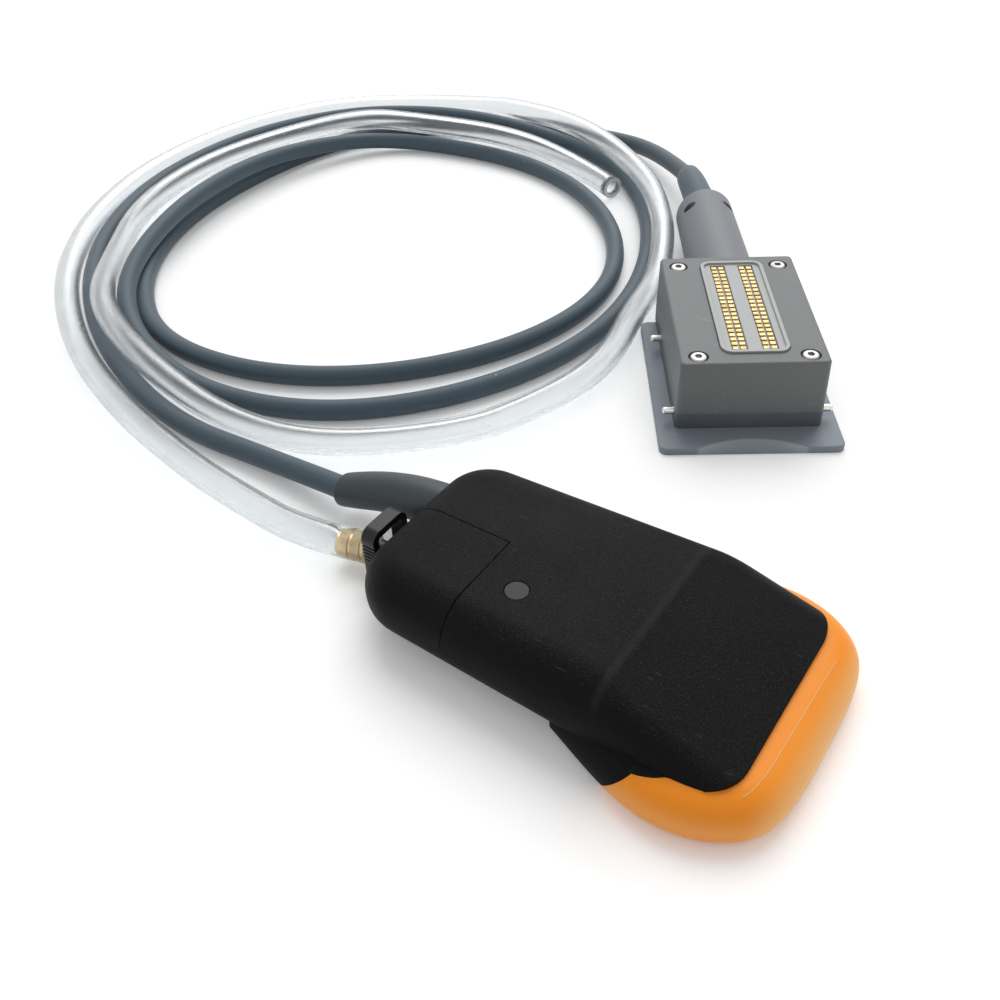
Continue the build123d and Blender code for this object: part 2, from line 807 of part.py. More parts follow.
insert_seat = box_height - insert_depth
hollow_width = box_width - 2 * box_wall - box_draft
hollow_length = box_length - 2 * box_wall - box_draft
board_seat = insert_seat - connector_board_thickness
with BuildPart() as upper_housing:
    with BuildSketch(connector.offset(lower_height)):
        with Locations((0, box_center_v)):
            RectangleRounded(box_width, box_length, box_corner)
    with BuildSketch(connector.offset(box_height)):
        with Locations((0, box_center_v)):
            RectangleRounded(box_width - box_draft, box_length - box_draft, box_corner)
    loft()
    fillet(upper_housing.edges().group_by(Axis.Z)[-1], box_top_round)
    with BuildSketch(connector.offset(lower_height)):
        with Locations((0, box_center_v)):
            RectangleRounded(hollow_width, hollow_length, box_corner)
    extrude(amount=box_height - lower_height - box_wall, mode=Mode.SUBTRACT)
    with BuildSketch(connector.offset(lower_height)):
        with Locations(*screw_places):
            Circle(box_boss_radius)
    extrude(amount=box_height - lower_height - box_wall)
    with BuildSketch(connector.offset(lower_height)):
        with Locations(*screw_places):
            Circle(box_screw_radius + fit_gap)
    extrude(amount=box_height, mode=Mode.SUBTRACT)
    with BuildSketch(connector.offset(box_height)):
        with Locations(*screw_places):
            Circle(box_screw_sink_radius)
    extrude(amount=-box_screw_sink, mode=Mode.SUBTRACT)
    with BuildSketch(connector.offset(box_height)):
        with Locations((insert_u, insert_v)):
            RectangleRounded(
                insert_width + 2 * fit_gap, insert_length + 2 * fit_gap, insert_corner + fit_gap
            )
    extrude(amount=-insert_depth, mode=Mode.SUBTRACT)

strip_centers = [insert_u - strip_offset, insert_u + strip_offset]
strip_length = contact_rows * contact_pitch_along
strip_floor = box_height - strip_depth
with BuildPart() as contact_insert:
    with BuildSketch(connector.offset(insert_seat)):
        with Locations((insert_u, insert_v)):
            RectangleRounded(insert_width, insert_length, insert_corner)
    extrude(amount=insert_depth + insert_rim_height)
    with BuildSketch(connector.offset(box_height + insert_rim_height)):
        with Locations((insert_u, insert_v)):
            RectangleRounded(
                insert_width - 2 * insert_rim, insert_length - 2 * insert_rim, insert_corner - insert_rim
            )
    extrude(amount=-insert_rim_height, mode=Mode.SUBTRACT)
    with BuildSketch(connector.offset(box_height)):
        for center in strip_centers:
            with Locations((center, insert_v)):
                Rectangle(strip_width, strip_length)
    extrude(amount=-strip_depth, mode=Mode.SUBTRACT)


def contact_strip(center):
    """One strip of gold contacts: two columns of small flat-topped pads."""
    with BuildPart() as strip:
        with BuildSketch(connector.offset(strip_floor)):
            with Locations((center, insert_v)):
                with GridLocations(
                    contact_pitch_across, contact_pitch_along, contact_columns, contact_rows
                ):
                    Rectangle(contact_width, contact_length)
        extrude(amount=contact_rise)
    return strip.part


with BuildPart() as left_contacts:
    add(contact_strip(strip_centers[0]))

with BuildPart() as right_contacts:
    add(contact_strip(strip_centers[1]))

with BuildPart() as connector_board:
    with BuildSketch(connector.offset(board_seat)):
        with Locations((0, box_center_v)):
            Rectangle(hollow_width - 2 * box_draft, hollow_length - 2 * box_draft)
        with Locations(*screw_places):
            Circle(box_boss_radius + fit_gap, mode=Mode.SUBTRACT)
    extrude(amount=connector_board_thickness)

screw_seat = box_height - box_screw_sink
with BuildPart() as connector_screws:
    with BuildSketch(connector.offset(screw_seat)):
        with Locations(*screw_places):
            Circle(box_screw_head_radius)
    extrude(amount=box_screw_head_height)
    fillet(connector_screws.edges().group_by(Axis.Z)[-1], box_screw_head_height / 2)
    with BuildSketch(connector.offset(screw_seat + box_screw_head_height)):
        with Locations(*screw_places):
            RegularPolygon(driver_recess_radius, 6)
    extrude(amount=-driver_recess_depth, mode=Mode.SUBTRACT)
    with BuildSketch(connector.offset(screw_seat)):
        with Locations(*screw_places):
            Circle(box_screw_radius)
    extrude(amount=-box_screw_length)

with BuildPart() as one_pin:
    with BuildSketch():
        Circle(pin_radius)
    extrude(amount=box_wall + pin_reach)
    fillet(one_pin.edges().group_by(Axis.Z)[-1], pin_radius * 0.7)

with BuildPart() as guide_pins:
    for side in (-1, 1):
        for place in (pin_front_v, pin_rear_v):
            root = connector_point(side * (box_width / 2 - box_wall), place, pin_height)
            with Locations(Plane(origin=root, z_dir=across * side)):
                add(one_pin.part)

# Cable barrel: a tapered tube in two halves, bolted together behind the box
barrel_front = connector_point(barrel_axis_u, box_length, barrel_axis_height)
barrel_end = connector_point(barrel_axis_u, barrel_end_v, barrel_axis_height)
pocket_places = [(barrel_axis_u + side * barrel_pocket_u, barrel_pocket_v) for side in (-1, 1)]
pocket_floor = barrel_axis_height + barrel_screw_head_radius
with BuildPart() as barrel_form:
    with BuildSketch(Plane(origin=barrel_front, x_dir=across, z_dir=along)):
        Circle(barrel_front_radius)
    with BuildSketch(Plane(origin=barrel_end, x_dir=across, z_dir=along)):
        Circle(barrel_rear_radius)
    loft()
    end_edges = barrel_form.edges().filter_by(GeomType.CIRCLE).sort_by_distance(barrel_end)
    fillet(end_edges[0], barrel_end_round)
    with BuildSketch(Plane(origin=barrel_front, x_dir=across, z_dir=along)):
        Circle(barrel_bore_radius)
    extrude(amount=barrel_end_v - box_length, mode=Mode.SUBTRACT)

with BuildPart() as barrel_top:
    add(barrel_form.part)
    with BuildSketch(connector.offset(barrel_axis_height)):
        with Locations((barrel_axis_u, (box_length + barrel_end_v) / 2)):
            Rectangle(4 * barrel_front_radius, barrel_end_v)
    extrude(amount=2 * barrel_front_radius, mode=Mode.INTERSECT)
    with BuildSketch(connector.offset(pocket_floor)):
        with Locations(*pocket_places):
            Circle(barrel_pocket_radius)
    extrude(amount=2 * barrel_front_radius, mode=Mode.SUBTRACT)
    with BuildSketch(connector):
        with Locations(*pocket_places):
            Circle(barrel_screw_radius + fit_gap)
    extrude(amount=box_height, mode=Mode.SUBTRACT)

with BuildPart() as barrel_bottom:
    add(barrel_form.part)
    with BuildSketch(connector.offset(barrel_axis_height)):
        with Locations((barrel_axis_u, (box_length + barrel_end_v) / 2)):
            Rectangle(4 * barrel_front_radius, barrel_end_v)
    extrude(amount=-2 * barrel_front_radius, mode=Mode.INTERSECT)
    with BuildSketch(connector.offset(barrel_axis_height)):
        with Locations(*pocket_places):
            Circle(barrel_screw_radius)
    extrude(amount=-barrel_screw_length / 2, mode=Mode.SUBTRACT)

with BuildPart() as barrel_screws:
    with BuildSketch(connector.offset(pocket_floor)):
        with Locations(*pocket_places):
            Circle(barrel_screw_head_radius)
            RegularPolygon(barrel_screw_radius, 6, mode=Mode.SUBTRACT)
    extrude(amount=barrel_screw_head_height)
    with BuildSketch(connector.offset(pocket_floor)):
        with Locations(*pocket_places):
            Circle(barrel_screw_radius)
    extrude(amount=-(barrel_screw_length / 2 + pocket_floor - barrel_axis_height - fit_gap))

# Strain relief: root held in the barrel, then a tapered sleeve that bends down to the cable
cable_end = Vector(*cable_route[-1])
relief_heading = (Vector(*cable_route[-2]) - cable_end).normalized()
relief_reach = cable_end - barrel_end
with BuildPart() as connector_boot:
    with BuildSketch(Plane(origin=barrel_end, x_dir=across, z_dir=along)):
        Circle(barrel_bore_radius - fit_gap)
        Circle(cable_radius, mode=Mode.SUBTRACT)
    extrude(amount=-relief_root_length)
    with BuildSketch(Plane(origin=barrel_end, z_dir=along)):
        Circle(relief_collar_radius)
    for way, rise, turn in relief_section_shares:
        section_place = barrel_end + relief_reach * way + Vector(0, 0, rise * relief_reach.length)
        section_heading = along * (1 - turn) + relief_heading * turn
        with BuildSketch(Plane(origin=section_place, z_dir=section_heading)):
            Circle(relief_root_radius + (relief_end_radius - relief_root_radius) * turn)
    with BuildSketch(Plane(origin=cable_end, z_dir=relief_heading)):
        Circle(relief_end_radius)
    loft()

cable_solid, cable_length = cord_part(cable_route, cable_radius)
with BuildPart() as cable:
    add(cable_solid)

hose_solid, hose_length = cord_part(hose_route, hose_radius)
with BuildPart() as clear_hose:
    add(hose_solid)
    with BuildSketch(barb_plane):
        Circle(barb_radius + fit_gap)
    extrude(amount=barb_length + fit_gap, mode=Mode.SUBTRACT)

pieces = {
    "top_shell": top_shell,
    "bottom_shell": bottom_shell,
    "rear_cover": rear_cover,
    "nose_cap": nose_cap,
    "marker_plug": marker_plug,
    "shell_screws": shell_screws,
    "array_module": array_module,
    "signal_board": signal_board,
    "cable_clamp": cable_clamp,
    "fluid_duct": fluid_duct,
    "cable_boot": cable_boot,
    "hose_socket": hose_socket,
    "hose_barb": hose_barb,
    "latch_ring": latch_ring,
    "base_plate": base_plate,
    "lower_housing": lower_housing,
    "upper_housing": upper_housing,
    "contact_insert": contact_insert,
    "left_contacts": left_contacts,
    "right_contacts": right_contacts,
    "connector_board": connector_board,
    "connector_screws": connector_screws,
    "guide_pins": guide_pins,
    "barrel_top": barrel_top,
    "barrel_bottom": barrel_bottom,
    "barrel_screws": barrel_screws,
    "connector_boot": connector_boot,
    "cable": cable,
    "clear_hose": clear_hose,
}

os.makedirs("parts", exist_ok=True)
for name, piece in pieces.items():
    piece.part.label = name
    export_step(piece.part, f"parts/{name}.step")

for name, piece, route, radius, length in (
    ("cable", cable, cable_route, cable_radius, cable_length),
    ("clear_hose", clear_hose, hose_route, hose_radius, hose_length),
):
    share = piece.part.volume / (pi * radius**2 * length)
    print(name, "length", round(length, 1), "volume over section times length", round(share, 4))
    print("  radii", " ".join(str(round(value)) for value in cord_radii(route)))
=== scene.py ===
import json
import logging
import math
from dataclasses import dataclass, replace
from enum import Enum

import bpy
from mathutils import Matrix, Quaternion, Vector

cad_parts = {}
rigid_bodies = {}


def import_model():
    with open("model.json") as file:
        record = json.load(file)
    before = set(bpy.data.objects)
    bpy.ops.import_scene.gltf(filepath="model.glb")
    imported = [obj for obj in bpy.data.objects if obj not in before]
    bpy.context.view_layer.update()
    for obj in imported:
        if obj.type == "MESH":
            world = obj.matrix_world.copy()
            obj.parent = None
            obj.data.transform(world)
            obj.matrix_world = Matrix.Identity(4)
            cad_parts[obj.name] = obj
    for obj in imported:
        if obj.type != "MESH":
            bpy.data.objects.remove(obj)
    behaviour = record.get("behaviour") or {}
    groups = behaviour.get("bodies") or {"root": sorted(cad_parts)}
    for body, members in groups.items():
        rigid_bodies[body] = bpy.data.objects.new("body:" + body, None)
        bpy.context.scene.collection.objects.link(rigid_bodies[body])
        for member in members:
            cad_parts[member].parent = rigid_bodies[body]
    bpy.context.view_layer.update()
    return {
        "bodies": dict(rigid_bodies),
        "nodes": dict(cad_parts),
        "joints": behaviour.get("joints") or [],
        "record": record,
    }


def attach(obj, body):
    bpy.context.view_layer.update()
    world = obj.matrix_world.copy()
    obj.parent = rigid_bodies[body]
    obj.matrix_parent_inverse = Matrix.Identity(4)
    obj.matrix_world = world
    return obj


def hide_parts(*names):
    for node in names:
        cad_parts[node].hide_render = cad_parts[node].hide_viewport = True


# Dresses the ultrasound probe: the handset with its orange nose, the coiled cable and
# clear hose, and the connector. Metres, in the same frame as the solids.

Point = tuple[float, float, float]
Colour = tuple[float, float, float]
Socket = bpy.types.NodeSocket
Tree = bpy.types.NodeTree

log = logging.getLogger("ultrasound_probe")


# Helpers


def screen_colour(red: int, green: int, blue: int) -> Colour:
    """Turn a colour as it looks on screen into the linear values that shaders take.

    Args:
        red: Red from 0 to 255.
        green: Green from 0 to 255.
        blue: Blue from 0 to 255.

    Returns:
        Linear red, green and blue from 0 to 1.
    """

    def linear(level: int) -> float:
        """Undo the screen's curve for one channel."""
        share = level / 255
        return share / 12.92 if share <= 0.04045 else ((share + 0.055) / 1.055) ** 2.4

    return linear(red), linear(green), linear(blue)


def linked_object(name: str, data: bpy.types.ID) -> bpy.types.Object:
    """Make an object and link it to the scene.

    Args:
        name: The object's name.
        data: Its mesh, curve, light or camera.

    Returns:
        The new object.
    """
    made = bpy.data.objects.new(name, data)
    bpy.context.scene.collection.objects.link(made)
    return made


class SocketKind(Enum):
    """What a node group's socket carries."""

    NUMBER = "NodeSocketFloat"
    DIRECTION = "NodeSocketVector"


class NodeSheet:
    """A shader node tree with short calls that add nodes and join them."""

    def __init__(self, tree: Tree) -> None:
        """Start on an empty tree.

        Args:
            tree: The tree to fill.
        """
        self.tree = tree
        self.tree.nodes.clear()

    def add(
        self, kind: str, inputs: dict[str | int, object] | None = None, **settings: object
    ) -> bpy.types.Node:
        """Add one node.

        Args:
            kind: The node type without its "ShaderNode" prefix.
            inputs: What to feed to its inputs, by name or number.
            **settings: Attributes of the node.

        Returns:
            The new node.
        """
        node = self.tree.nodes.new("ShaderNode" + kind)
        for name, value in settings.items():
            setattr(node, name, value)
        for key, source in (inputs or {}).items():
            self.feed(node.inputs[key], source)
        return node

    def feed(self, target: Socket, source: object) -> None:
        """Set a socket to a value, or join another socket to it.

        Args:
            target: The input socket.
            source: A number, a colour, a vector or an output socket.
        """
        if isinstance(source, Socket):
            self.tree.links.new(source, target)
        else:
            target.default_value = source

    def group(self, tree: Tree, **values: float) -> bpy.types.NodeOutputs:
        """Put a node group in with its own values.

        Args:
            tree: The group.
            **values: Input values, with _ for a space in their names.

        Returns:
            The group's outputs.
        """
        inputs = {name.replace("_", " "): value for name, value in values.items()}
        return self.add("Group", inputs, node_tree=tree).outputs

    def place(self) -> Socket:
        """Add the coordinates of the object's own space."""
        return self.add("TexCoord").outputs["Object"]

    def split(self, vector: Socket) -> bpy.types.NodeOutputs:
        """Split a vector into outputs named X, Y and Z."""
        return self.add("SeparateXYZ", {0: vector}).outputs

    def math(self, operation: str, first: object, second: object = 0.0) -> Socket:
        """Add a math node.

        Args:
            operation: Blender's name for the operation.
            first: First number or socket.
            second: Second number or socket.

        Returns:
            The result's socket.
        """
        return self.add("Math", {0: first, 1: second}, operation=operation).outputs[0]

    def times(self, first: object, second: object) -> Socket:
        """Multiply two numbers or sockets."""
        return self.math("MULTIPLY", first, second)

    def inverse(self, share: object) -> Socket:
        """Take a number or socket away from 1."""
        return self.math("SUBTRACT", 1.0, share)

    def step(self, value: object, low: float, high: float) -> Socket:
        """Add a smooth step from 0 at low to 1 at high.

        Args:
            value: The number or socket to map.
            low: Where the step starts.
            high: Where the step ends.

        Returns:
            The step's socket.
        """
        span = {"Value": value, "From Min": low, "From Max": high}
        return self.add("MapRange", span, interpolation_type="SMOOTHSTEP").outputs["Result"]

    def blend(self, factor: object, first: object, second: object) -> Socket:
        """Blend two colours.

        Args:
            factor: How much of the second colour shows.
            first: First colour or socket.
            second: Second colour or socket.

        Returns:
            The blended colour's socket.
        """
        # The mix node's colour sockets share their names with others, so they go by number
        inputs = {0: factor, 6: self.opaque(first), 7: self.opaque(second)}
        return self.add("Mix", inputs, data_type="RGBA").outputs[2]

    def noise(self, place: object, scale: object, detail: float = 2.0) -> Socket:
        """Add a noise texture.

        Args:
            place: The coordinates' socket.
            scale: Noise cells per metre, as a number or socket.
            detail: Number of finer layers.

        Returns:
            The noise's number socket.
        """
        inputs = {"Vector": place, "Scale": scale, "Detail": detail}
        return self.add("TexNoise", inputs).outputs["Fac"]

    def bump(self, height: object, depth: float, normal: object = None) -> Socket:
        """Add a bump node.

        Args:
            height: The relief's socket.
            depth: How deep its full range is, in metres.
            normal: The normal that the relief lies on, if not the surface's own.

        Returns:
            The new normal's socket.
        """
        node = self.add("Bump", {"Height": height, "Distance": depth})
        if normal is not None:
            self.feed(node.inputs["Normal"], normal)
        return node.outputs["Normal"]

    @staticmethod
    def opaque(colour: object) -> object:
        """Give a plain colour its fourth value."""
        return (*colour, 1.0) if isinstance(colour, tuple) and len(colour) == 3 else colour


class GroupSheet(NodeSheet):
    """A node group with named inputs and outputs."""

    def __init__(self, name: str, inputs: dict[str, float], outputs: dict[str, SocketKind]) -> None:
        """Make the group's sockets.

        Args:
            name: The group's name.
            inputs: Names of the number inputs with their usual values.
            outputs: Names of the outputs with their kinds.
        """
        super().__init__(bpy.data.node_groups.new(name, "ShaderNodeTree"))
        for label, value in inputs.items():
            socket = self.tree.interface.new_socket(
                label, in_out="INPUT", socket_type=SocketKind.NUMBER.value
            )
            socket.default_value = value
        for label, kind in outputs.items():
            self.tree.interface.new_socket(label, in_out="OUTPUT", socket_type=kind.value)
        self.given = self.tree.nodes.new("NodeGroupInput").outputs
        self.result = self.tree.nodes.new("NodeGroupOutput").inputs


class MaterialSheet(NodeSheet):
    """A new material, with a principled shader joined to its output."""

    def __init__(self, name: str) -> None:
        """Make the material.

        Args:
            name: The material's name.
        """
        self.material = bpy.data.materials.new(name)
        self.material.use_nodes = True
        super().__init__(self.material.node_tree)
        self.shader = self.add("BsdfPrincipled")
        self.output = self.add("OutputMaterial", {"Surface": self.shader.outputs["BSDF"]})

    def finish(self, inputs: dict[str, object]) -> bpy.types.Material:
        """Feed the shader's inputs and hand the material over.

        Args:
            inputs: Values or sockets by the names of the shader's inputs.

        Returns:
            The material.
        """
        for name, source in inputs.items():
            self.feed(self.shader.inputs[name], source)
        return self.material


# Effects that several finishes share


class SurfaceEffects:
    """Node groups for grain, tone, scuffs, wear and dust, each built once."""

    def __init__(self) -> None:
        """Build every group."""
        self.grain = self._moulded_grain()
        self.tone = self._cloud_tone()
        self.scuffs = self._hairline_scuffs()
        self.wear = self._edge_wear()
        self.dust = self._dust_specks()

    @staticmethod
    def _moulded_grain() -> Tree:
        """Spark-eroded mould grain: a height for bump and sparse pale flecks."""
        sheet = GroupSheet(
            "moulded grain",
            {"Scale": 1500.0, "Fleck Density": 0.3},
            {"Height": SocketKind.NUMBER, "Flecks": SocketKind.NUMBER},
        )
        place = sheet.place()
        scale = sheet.given["Scale"]
        pit_scale = sheet.times(scale, 0.7)
        cells = sheet.add("TexVoronoi", {"Vector": place, "Scale": pit_scale})
        pits = sheet.times(cells.outputs["Distance"], 0.6)
        fine = sheet.noise(place, scale, detail=3.0)
        sheet.feed(sheet.result["Height"], sheet.math("ADD", fine, pits))
        specks = sheet.noise(place, sheet.times(scale, 1.3), detail=1.0)
        lowered = sheet.times(sheet.given["Fleck Density"], 0.3)
        above = sheet.math("SUBTRACT", specks, sheet.math("SUBTRACT", 0.8, lowered))
        sheet.feed(sheet.result["Flecks"], sheet.step(above, 0.0, 0.07))
        return sheet.tree

    @staticmethod
    def _cloud_tone() -> Tree:
        """Slow change of lightness over the surface, around 1."""
        sheet = GroupSheet(
            "cloud tone", {"Scale": 40.0, "Spread": 0.1}, {"Shade": SocketKind.NUMBER}
        )
        cloud = sheet.noise(sheet.place(), sheet.given["Scale"], detail=4.0)
        shift = sheet.times(sheet.math("SUBTRACT", cloud, 0.5), 2.0)
        spread = sheet.times(shift, sheet.given["Spread"])
        sheet.feed(sheet.result["Shade"], sheet.math("ADD", spread, 1.0))
        return sheet.tree

    @staticmethod
    def _hairline_scuffs() -> Tree:
        """Short fine scratches in two directions, in patches."""
        sheet = GroupSheet(
            "hairline scuffs", {"Scale": 700.0, "Amount": 0.3}, {"Mask": SocketKind.NUMBER}
        )
        place = sheet.place()
        stretch = (0.05, 1.0, 1.0)
        lines = []
        for turn in ((0.3, 0.2, 0.8), (-0.2, 0.4, -1.1)):
            mapping = {"Vector": place, "Rotation": turn, "Scale": stretch}
            stretched = sheet.add("Mapping", mapping).outputs["Vector"]
            streak = sheet.noise(stretched, sheet.given["Scale"], detail=1.0)
            lines.append(sheet.step(streak, 0.70, 0.76))
        patches = sheet.step(sheet.noise(place, 60.0), 0.5, 0.62)
        shown = sheet.times(sheet.math("MAXIMUM", *lines), patches)
        sheet.feed(sheet.result["Mask"], sheet.times(shown, sheet.given["Amount"]))
        return sheet.tree

    @staticmethod
    def _edge_wear() -> Tree:
        """Rubbed edges: a mask along them and a normal that softens them."""
        sheet = GroupSheet(
            "edge wear",
            {"Radius": 0.0006, "Amount": 0.5},
            {"Mask": SocketKind.NUMBER, "Normal": SocketKind.DIRECTION},
        )
        bevel = sheet.add("Bevel", {"Radius": sheet.given["Radius"]}, samples=4)
        rounded = bevel.outputs["Normal"]
        sharp = sheet.add("NewGeometry").outputs["Normal"]
        facing = sheet.add("VectorMath", {0: rounded, 1: sharp}, operation="DOT_PRODUCT")
        edges = sheet.step(sheet.inverse(facing.outputs["Value"]), 0.01, 0.12)
        broken = sheet.step(sheet.noise(sheet.place(), 420.0, detail=3.0), 0.42, 0.62)
        rubbed = sheet.times(edges, broken)
        sheet.feed(sheet.result["Mask"], sheet.times(rubbed, sheet.given["Amount"]))
        sheet.feed(sheet.result["Normal"], rounded)
        return sheet.tree

    @staticmethod
    def _dust_specks() -> Tree:
        """Sparse round specks of dust and lint."""
        sheet = GroupSheet(
            "dust specks", {"Scale": 320.0, "Amount": 0.2}, {"Mask": SocketKind.NUMBER}
        )
        inputs = {"Vector": sheet.place(), "Scale": sheet.given["Scale"]}
        cells = sheet.add("TexVoronoi", inputs).outputs
        near = sheet.inverse(sheet.step(cells["Distance"], 0.06, 0.13))
        draw = sheet.add("SeparateColor", {0: cells["Color"]}).outputs[0]
        chosen = sheet.math("GREATER_THAN", draw, sheet.inverse(sheet.given["Amount"]))
        sheet.feed(sheet.result["Mask"], sheet.times(near, chosen))
        return sheet.tree


# Finishes


@dataclass(frozen=True)
class Finish:
    """What a surface is made of, and how its material is built."""

    name: str
    colour: Colour
    roughness: float

    def material(self, effects: SurfaceEffects) -> bpy.types.Material:
        """Build the material.

        Args:
            effects: The shared node groups.

        Returns:
            The finished material.
        """
        sheet = MaterialSheet(self.name)
        return sheet.finish(self._inputs(sheet, effects))

    def _inputs(self, sheet: MaterialSheet, effects: SurfaceEffects) -> dict[str, object]:
        """Add the nodes of this finish.

        Args:
            sheet: The material's sheet.
            effects: The shared node groups.

        Returns:
            Values or sockets by the names of the shader's inputs.
        """
        raise NotImplementedError


@dataclass(frozen=True)
class MouldedFinish(Finish):
    """Moulded plastic or rubber with grain, tone, scuffs, rubbed edges and dust."""

    rubbed_colour: Colour
    grain_scale: float
    grain_depth: float = 0.00003
    fleck_density: float = 0.2
    fleck_strength: float = 0.2
    tone_spread: float = 0.08
    scuff_amount: float = 0.2
    wear_amount: float = 0.3
    wear_polish: float = 0.12
    dust_amount: float = 0.01
    edge_radius: float = 0.0004
    specular: float = 0.5
    sheen: float = 0.0
    sheen_roughness: float = 0.4
    subsurface: float = 0.0
    glow_depth: float = 0.004
    glow_radius: Colour = (1.0, 0.45, 0.15)

    def _inputs(self, sheet: MaterialSheet, effects: SurfaceEffects) -> dict[str, object]:
        """Layer grain, scuffs, rubbed edges and dust over the ground colour."""
        grain = sheet.group(effects.grain, Scale=self.grain_scale, Fleck_Density=self.fleck_density)
        shade = sheet.group(effects.tone, Spread=self.tone_spread)["Shade"]
        scuffs = sheet.group(effects.scuffs, Amount=self.scuff_amount)["Mask"]
        wear = sheet.group(effects.wear, Radius=self.edge_radius, Amount=self.wear_amount)
        dust = sheet.group(effects.dust, Amount=self.dust_amount)["Mask"]
        colour = self._ground(sheet)
        for mask in (self._flecks(sheet, grain["Flecks"]), scuffs, wear["Mask"]):
            colour = sheet.blend(mask, colour, self.rubbed_colour)
        colour = sheet.blend(dust, colour, DUST_COLOUR)
        shaded = sheet.add("HueSaturation", {"Color": colour, "Value": shade})
        rough = sheet.times(shade, self.roughness)
        polish = sheet.times(wear["Mask"], self.wear_polish)
        return {
            "Base Color": shaded.outputs["Color"],
            "Roughness": sheet.math("SUBTRACT", rough, polish),
            "Normal": sheet.bump(grain["Height"], self.grain_depth, wear["Normal"]),
            "Specular IOR Level": self.specular,
            "Sheen Weight": self.sheen,
            "Sheen Roughness": self.sheen_roughness,
            "Subsurface Weight": self.subsurface,
            "Subsurface Radius": self.glow_radius,
            "Subsurface Scale": self.glow_depth,
        }

    def _ground(self, sheet: NodeSheet) -> object:
        """Colour before grain and wear: plain here, a change over the surface in some finishes.

        Args:
            sheet: The material's sheet.

        Returns:
            The colour, or its socket.
        """
        return self.colour

    def _flecks(self, sheet: NodeSheet, mask: Socket) -> Socket:
        """Weaken the grain's flecks to this finish's strength.

        Args:
            sheet: The material's sheet.
            mask: The grain's flecks.

        Returns:
            The mask's socket.
        """
        return sheet.times(mask, self.fleck_strength)


@dataclass(frozen=True)
class ShellFinish(MouldedFinish):
    """Black nylon of the housing, dark where its two shells meet, with a painted highlight along
    the crease.
    """

    line_colour: Colour = (0.0, 0.0, 0.0)
    line_width: float = 0.00034
    # Pale colour of the painted highlight along the crease across the top.
    crease_highlight_colour: Colour = (0.12, 0.116, 0.113)
    crease_place: float = 0.020
    crease_width: float = 0.0019
    crease_bottom: float = 0.019
    crease_fade: float = 0.004
    crease_highlight_strength: float = 0.07
    side_normal: float = 0.55
    parting_height: float = 0.014
    dip_start: float = 0.007
    dip_end: float = 0.0335
    dip_height: float = 0.0118

    def _ground(self, sheet: NodeSheet) -> Socket:
        """Darken a fine line where the shells part, and paint a highlight along the crease across
        the top.
        """
        parts = sheet.split(sheet.place())
        dip = {
            "Value": parts["X"],
            "From Min": self.dip_start,
            "From Max": self.dip_end,
            "To Min": self.parting_height,
            "To Max": self.dip_height,
        }
        height = sheet.add("MapRange", dip).outputs["Result"]
        away = sheet.math("ABSOLUTE", sheet.math("SUBTRACT", parts["Z"], height))
        near = sheet.math("LESS_THAN", away, self.line_width / 2)
        behind = sheet.math("LESS_THAN", parts["X"], self.dip_end)
        lined = sheet.blend(sheet.times(near, behind), self.colour, self.line_colour)
        # Painted highlight: a pale band along the crease, on the upper faces only.
        off_crease = sheet.math("ABSOLUTE", sheet.math("SUBTRACT", parts["X"], self.crease_place))
        close = sheet.inverse(sheet.step(off_crease, 0.0, self.crease_width))
        upper = sheet.step(parts["Z"], self.crease_bottom, self.crease_bottom + self.crease_fade)
        rubbed = sheet.times(close, upper)
        shown = sheet.times(rubbed, self.crease_highlight_strength)
        return sheet.blend(shown, lined, self.crease_highlight_colour)

    def _flecks(self, sheet: NodeSheet, mask: Socket) -> Socket:
        """Show the grain's flecks only on faces that look up, as a painted sheen from the light
        above; the sides stay dark.
        """
        parts = sheet.split(sheet.add("NewGeometry").outputs["Normal"])
        # Painted sheen: the flecks fade out as faces turn from up to the side.
        painted_top_sheen = sheet.step(parts["Z"], self.side_normal, 1.0)
        return sheet.times(super()._flecks(sheet, mask), painted_top_sheen)


@dataclass(frozen=True)
class PlateFinish(MouldedFinish):
    """Base plate plastic, with a painted highlight in the thumb scallop at its front edge."""

    scallop_highlight_colour: Colour = (0.5, 0.5, 0.5)
    scallop_centre: Point = (0.01966, 0.07691, 0.0)
    scallop_radius: float = 0.0356
    scallop_edge: float = 0.0008
    scallop_fade: float = 0.005
    inner_highlight: float = 0.15
    edge_highlight: float = 0.7

    def _ground(self, sheet: NodeSheet) -> Socket:
        """Paint a highlight on the plate's top inside the scallop's round edge, brightest towards
        the edge.
        """
        flat = sheet.add("Mapping", {"Vector": sheet.place(), "Scale": (1.0, 1.0, 0.0)})
        ends = {0: flat.outputs["Vector"], 1: self.scallop_centre}
        reach = sheet.add("VectorMath", ends, operation="DISTANCE").outputs["Value"]
        # Painted highlight in the scallop, brightest towards its round edge.
        outside = sheet.step(reach, self.scallop_radius - self.scallop_edge, self.scallop_radius)
        deep = sheet.step(reach, self.scallop_radius - self.scallop_fade, self.scallop_radius)
        tone = sheet.math("ADD", self.inner_highlight, sheet.times(deep, self.edge_highlight))
        shown = sheet.times(sheet.inverse(outside), tone)
        return sheet.blend(shown, self.colour, self.scallop_highlight_colour)


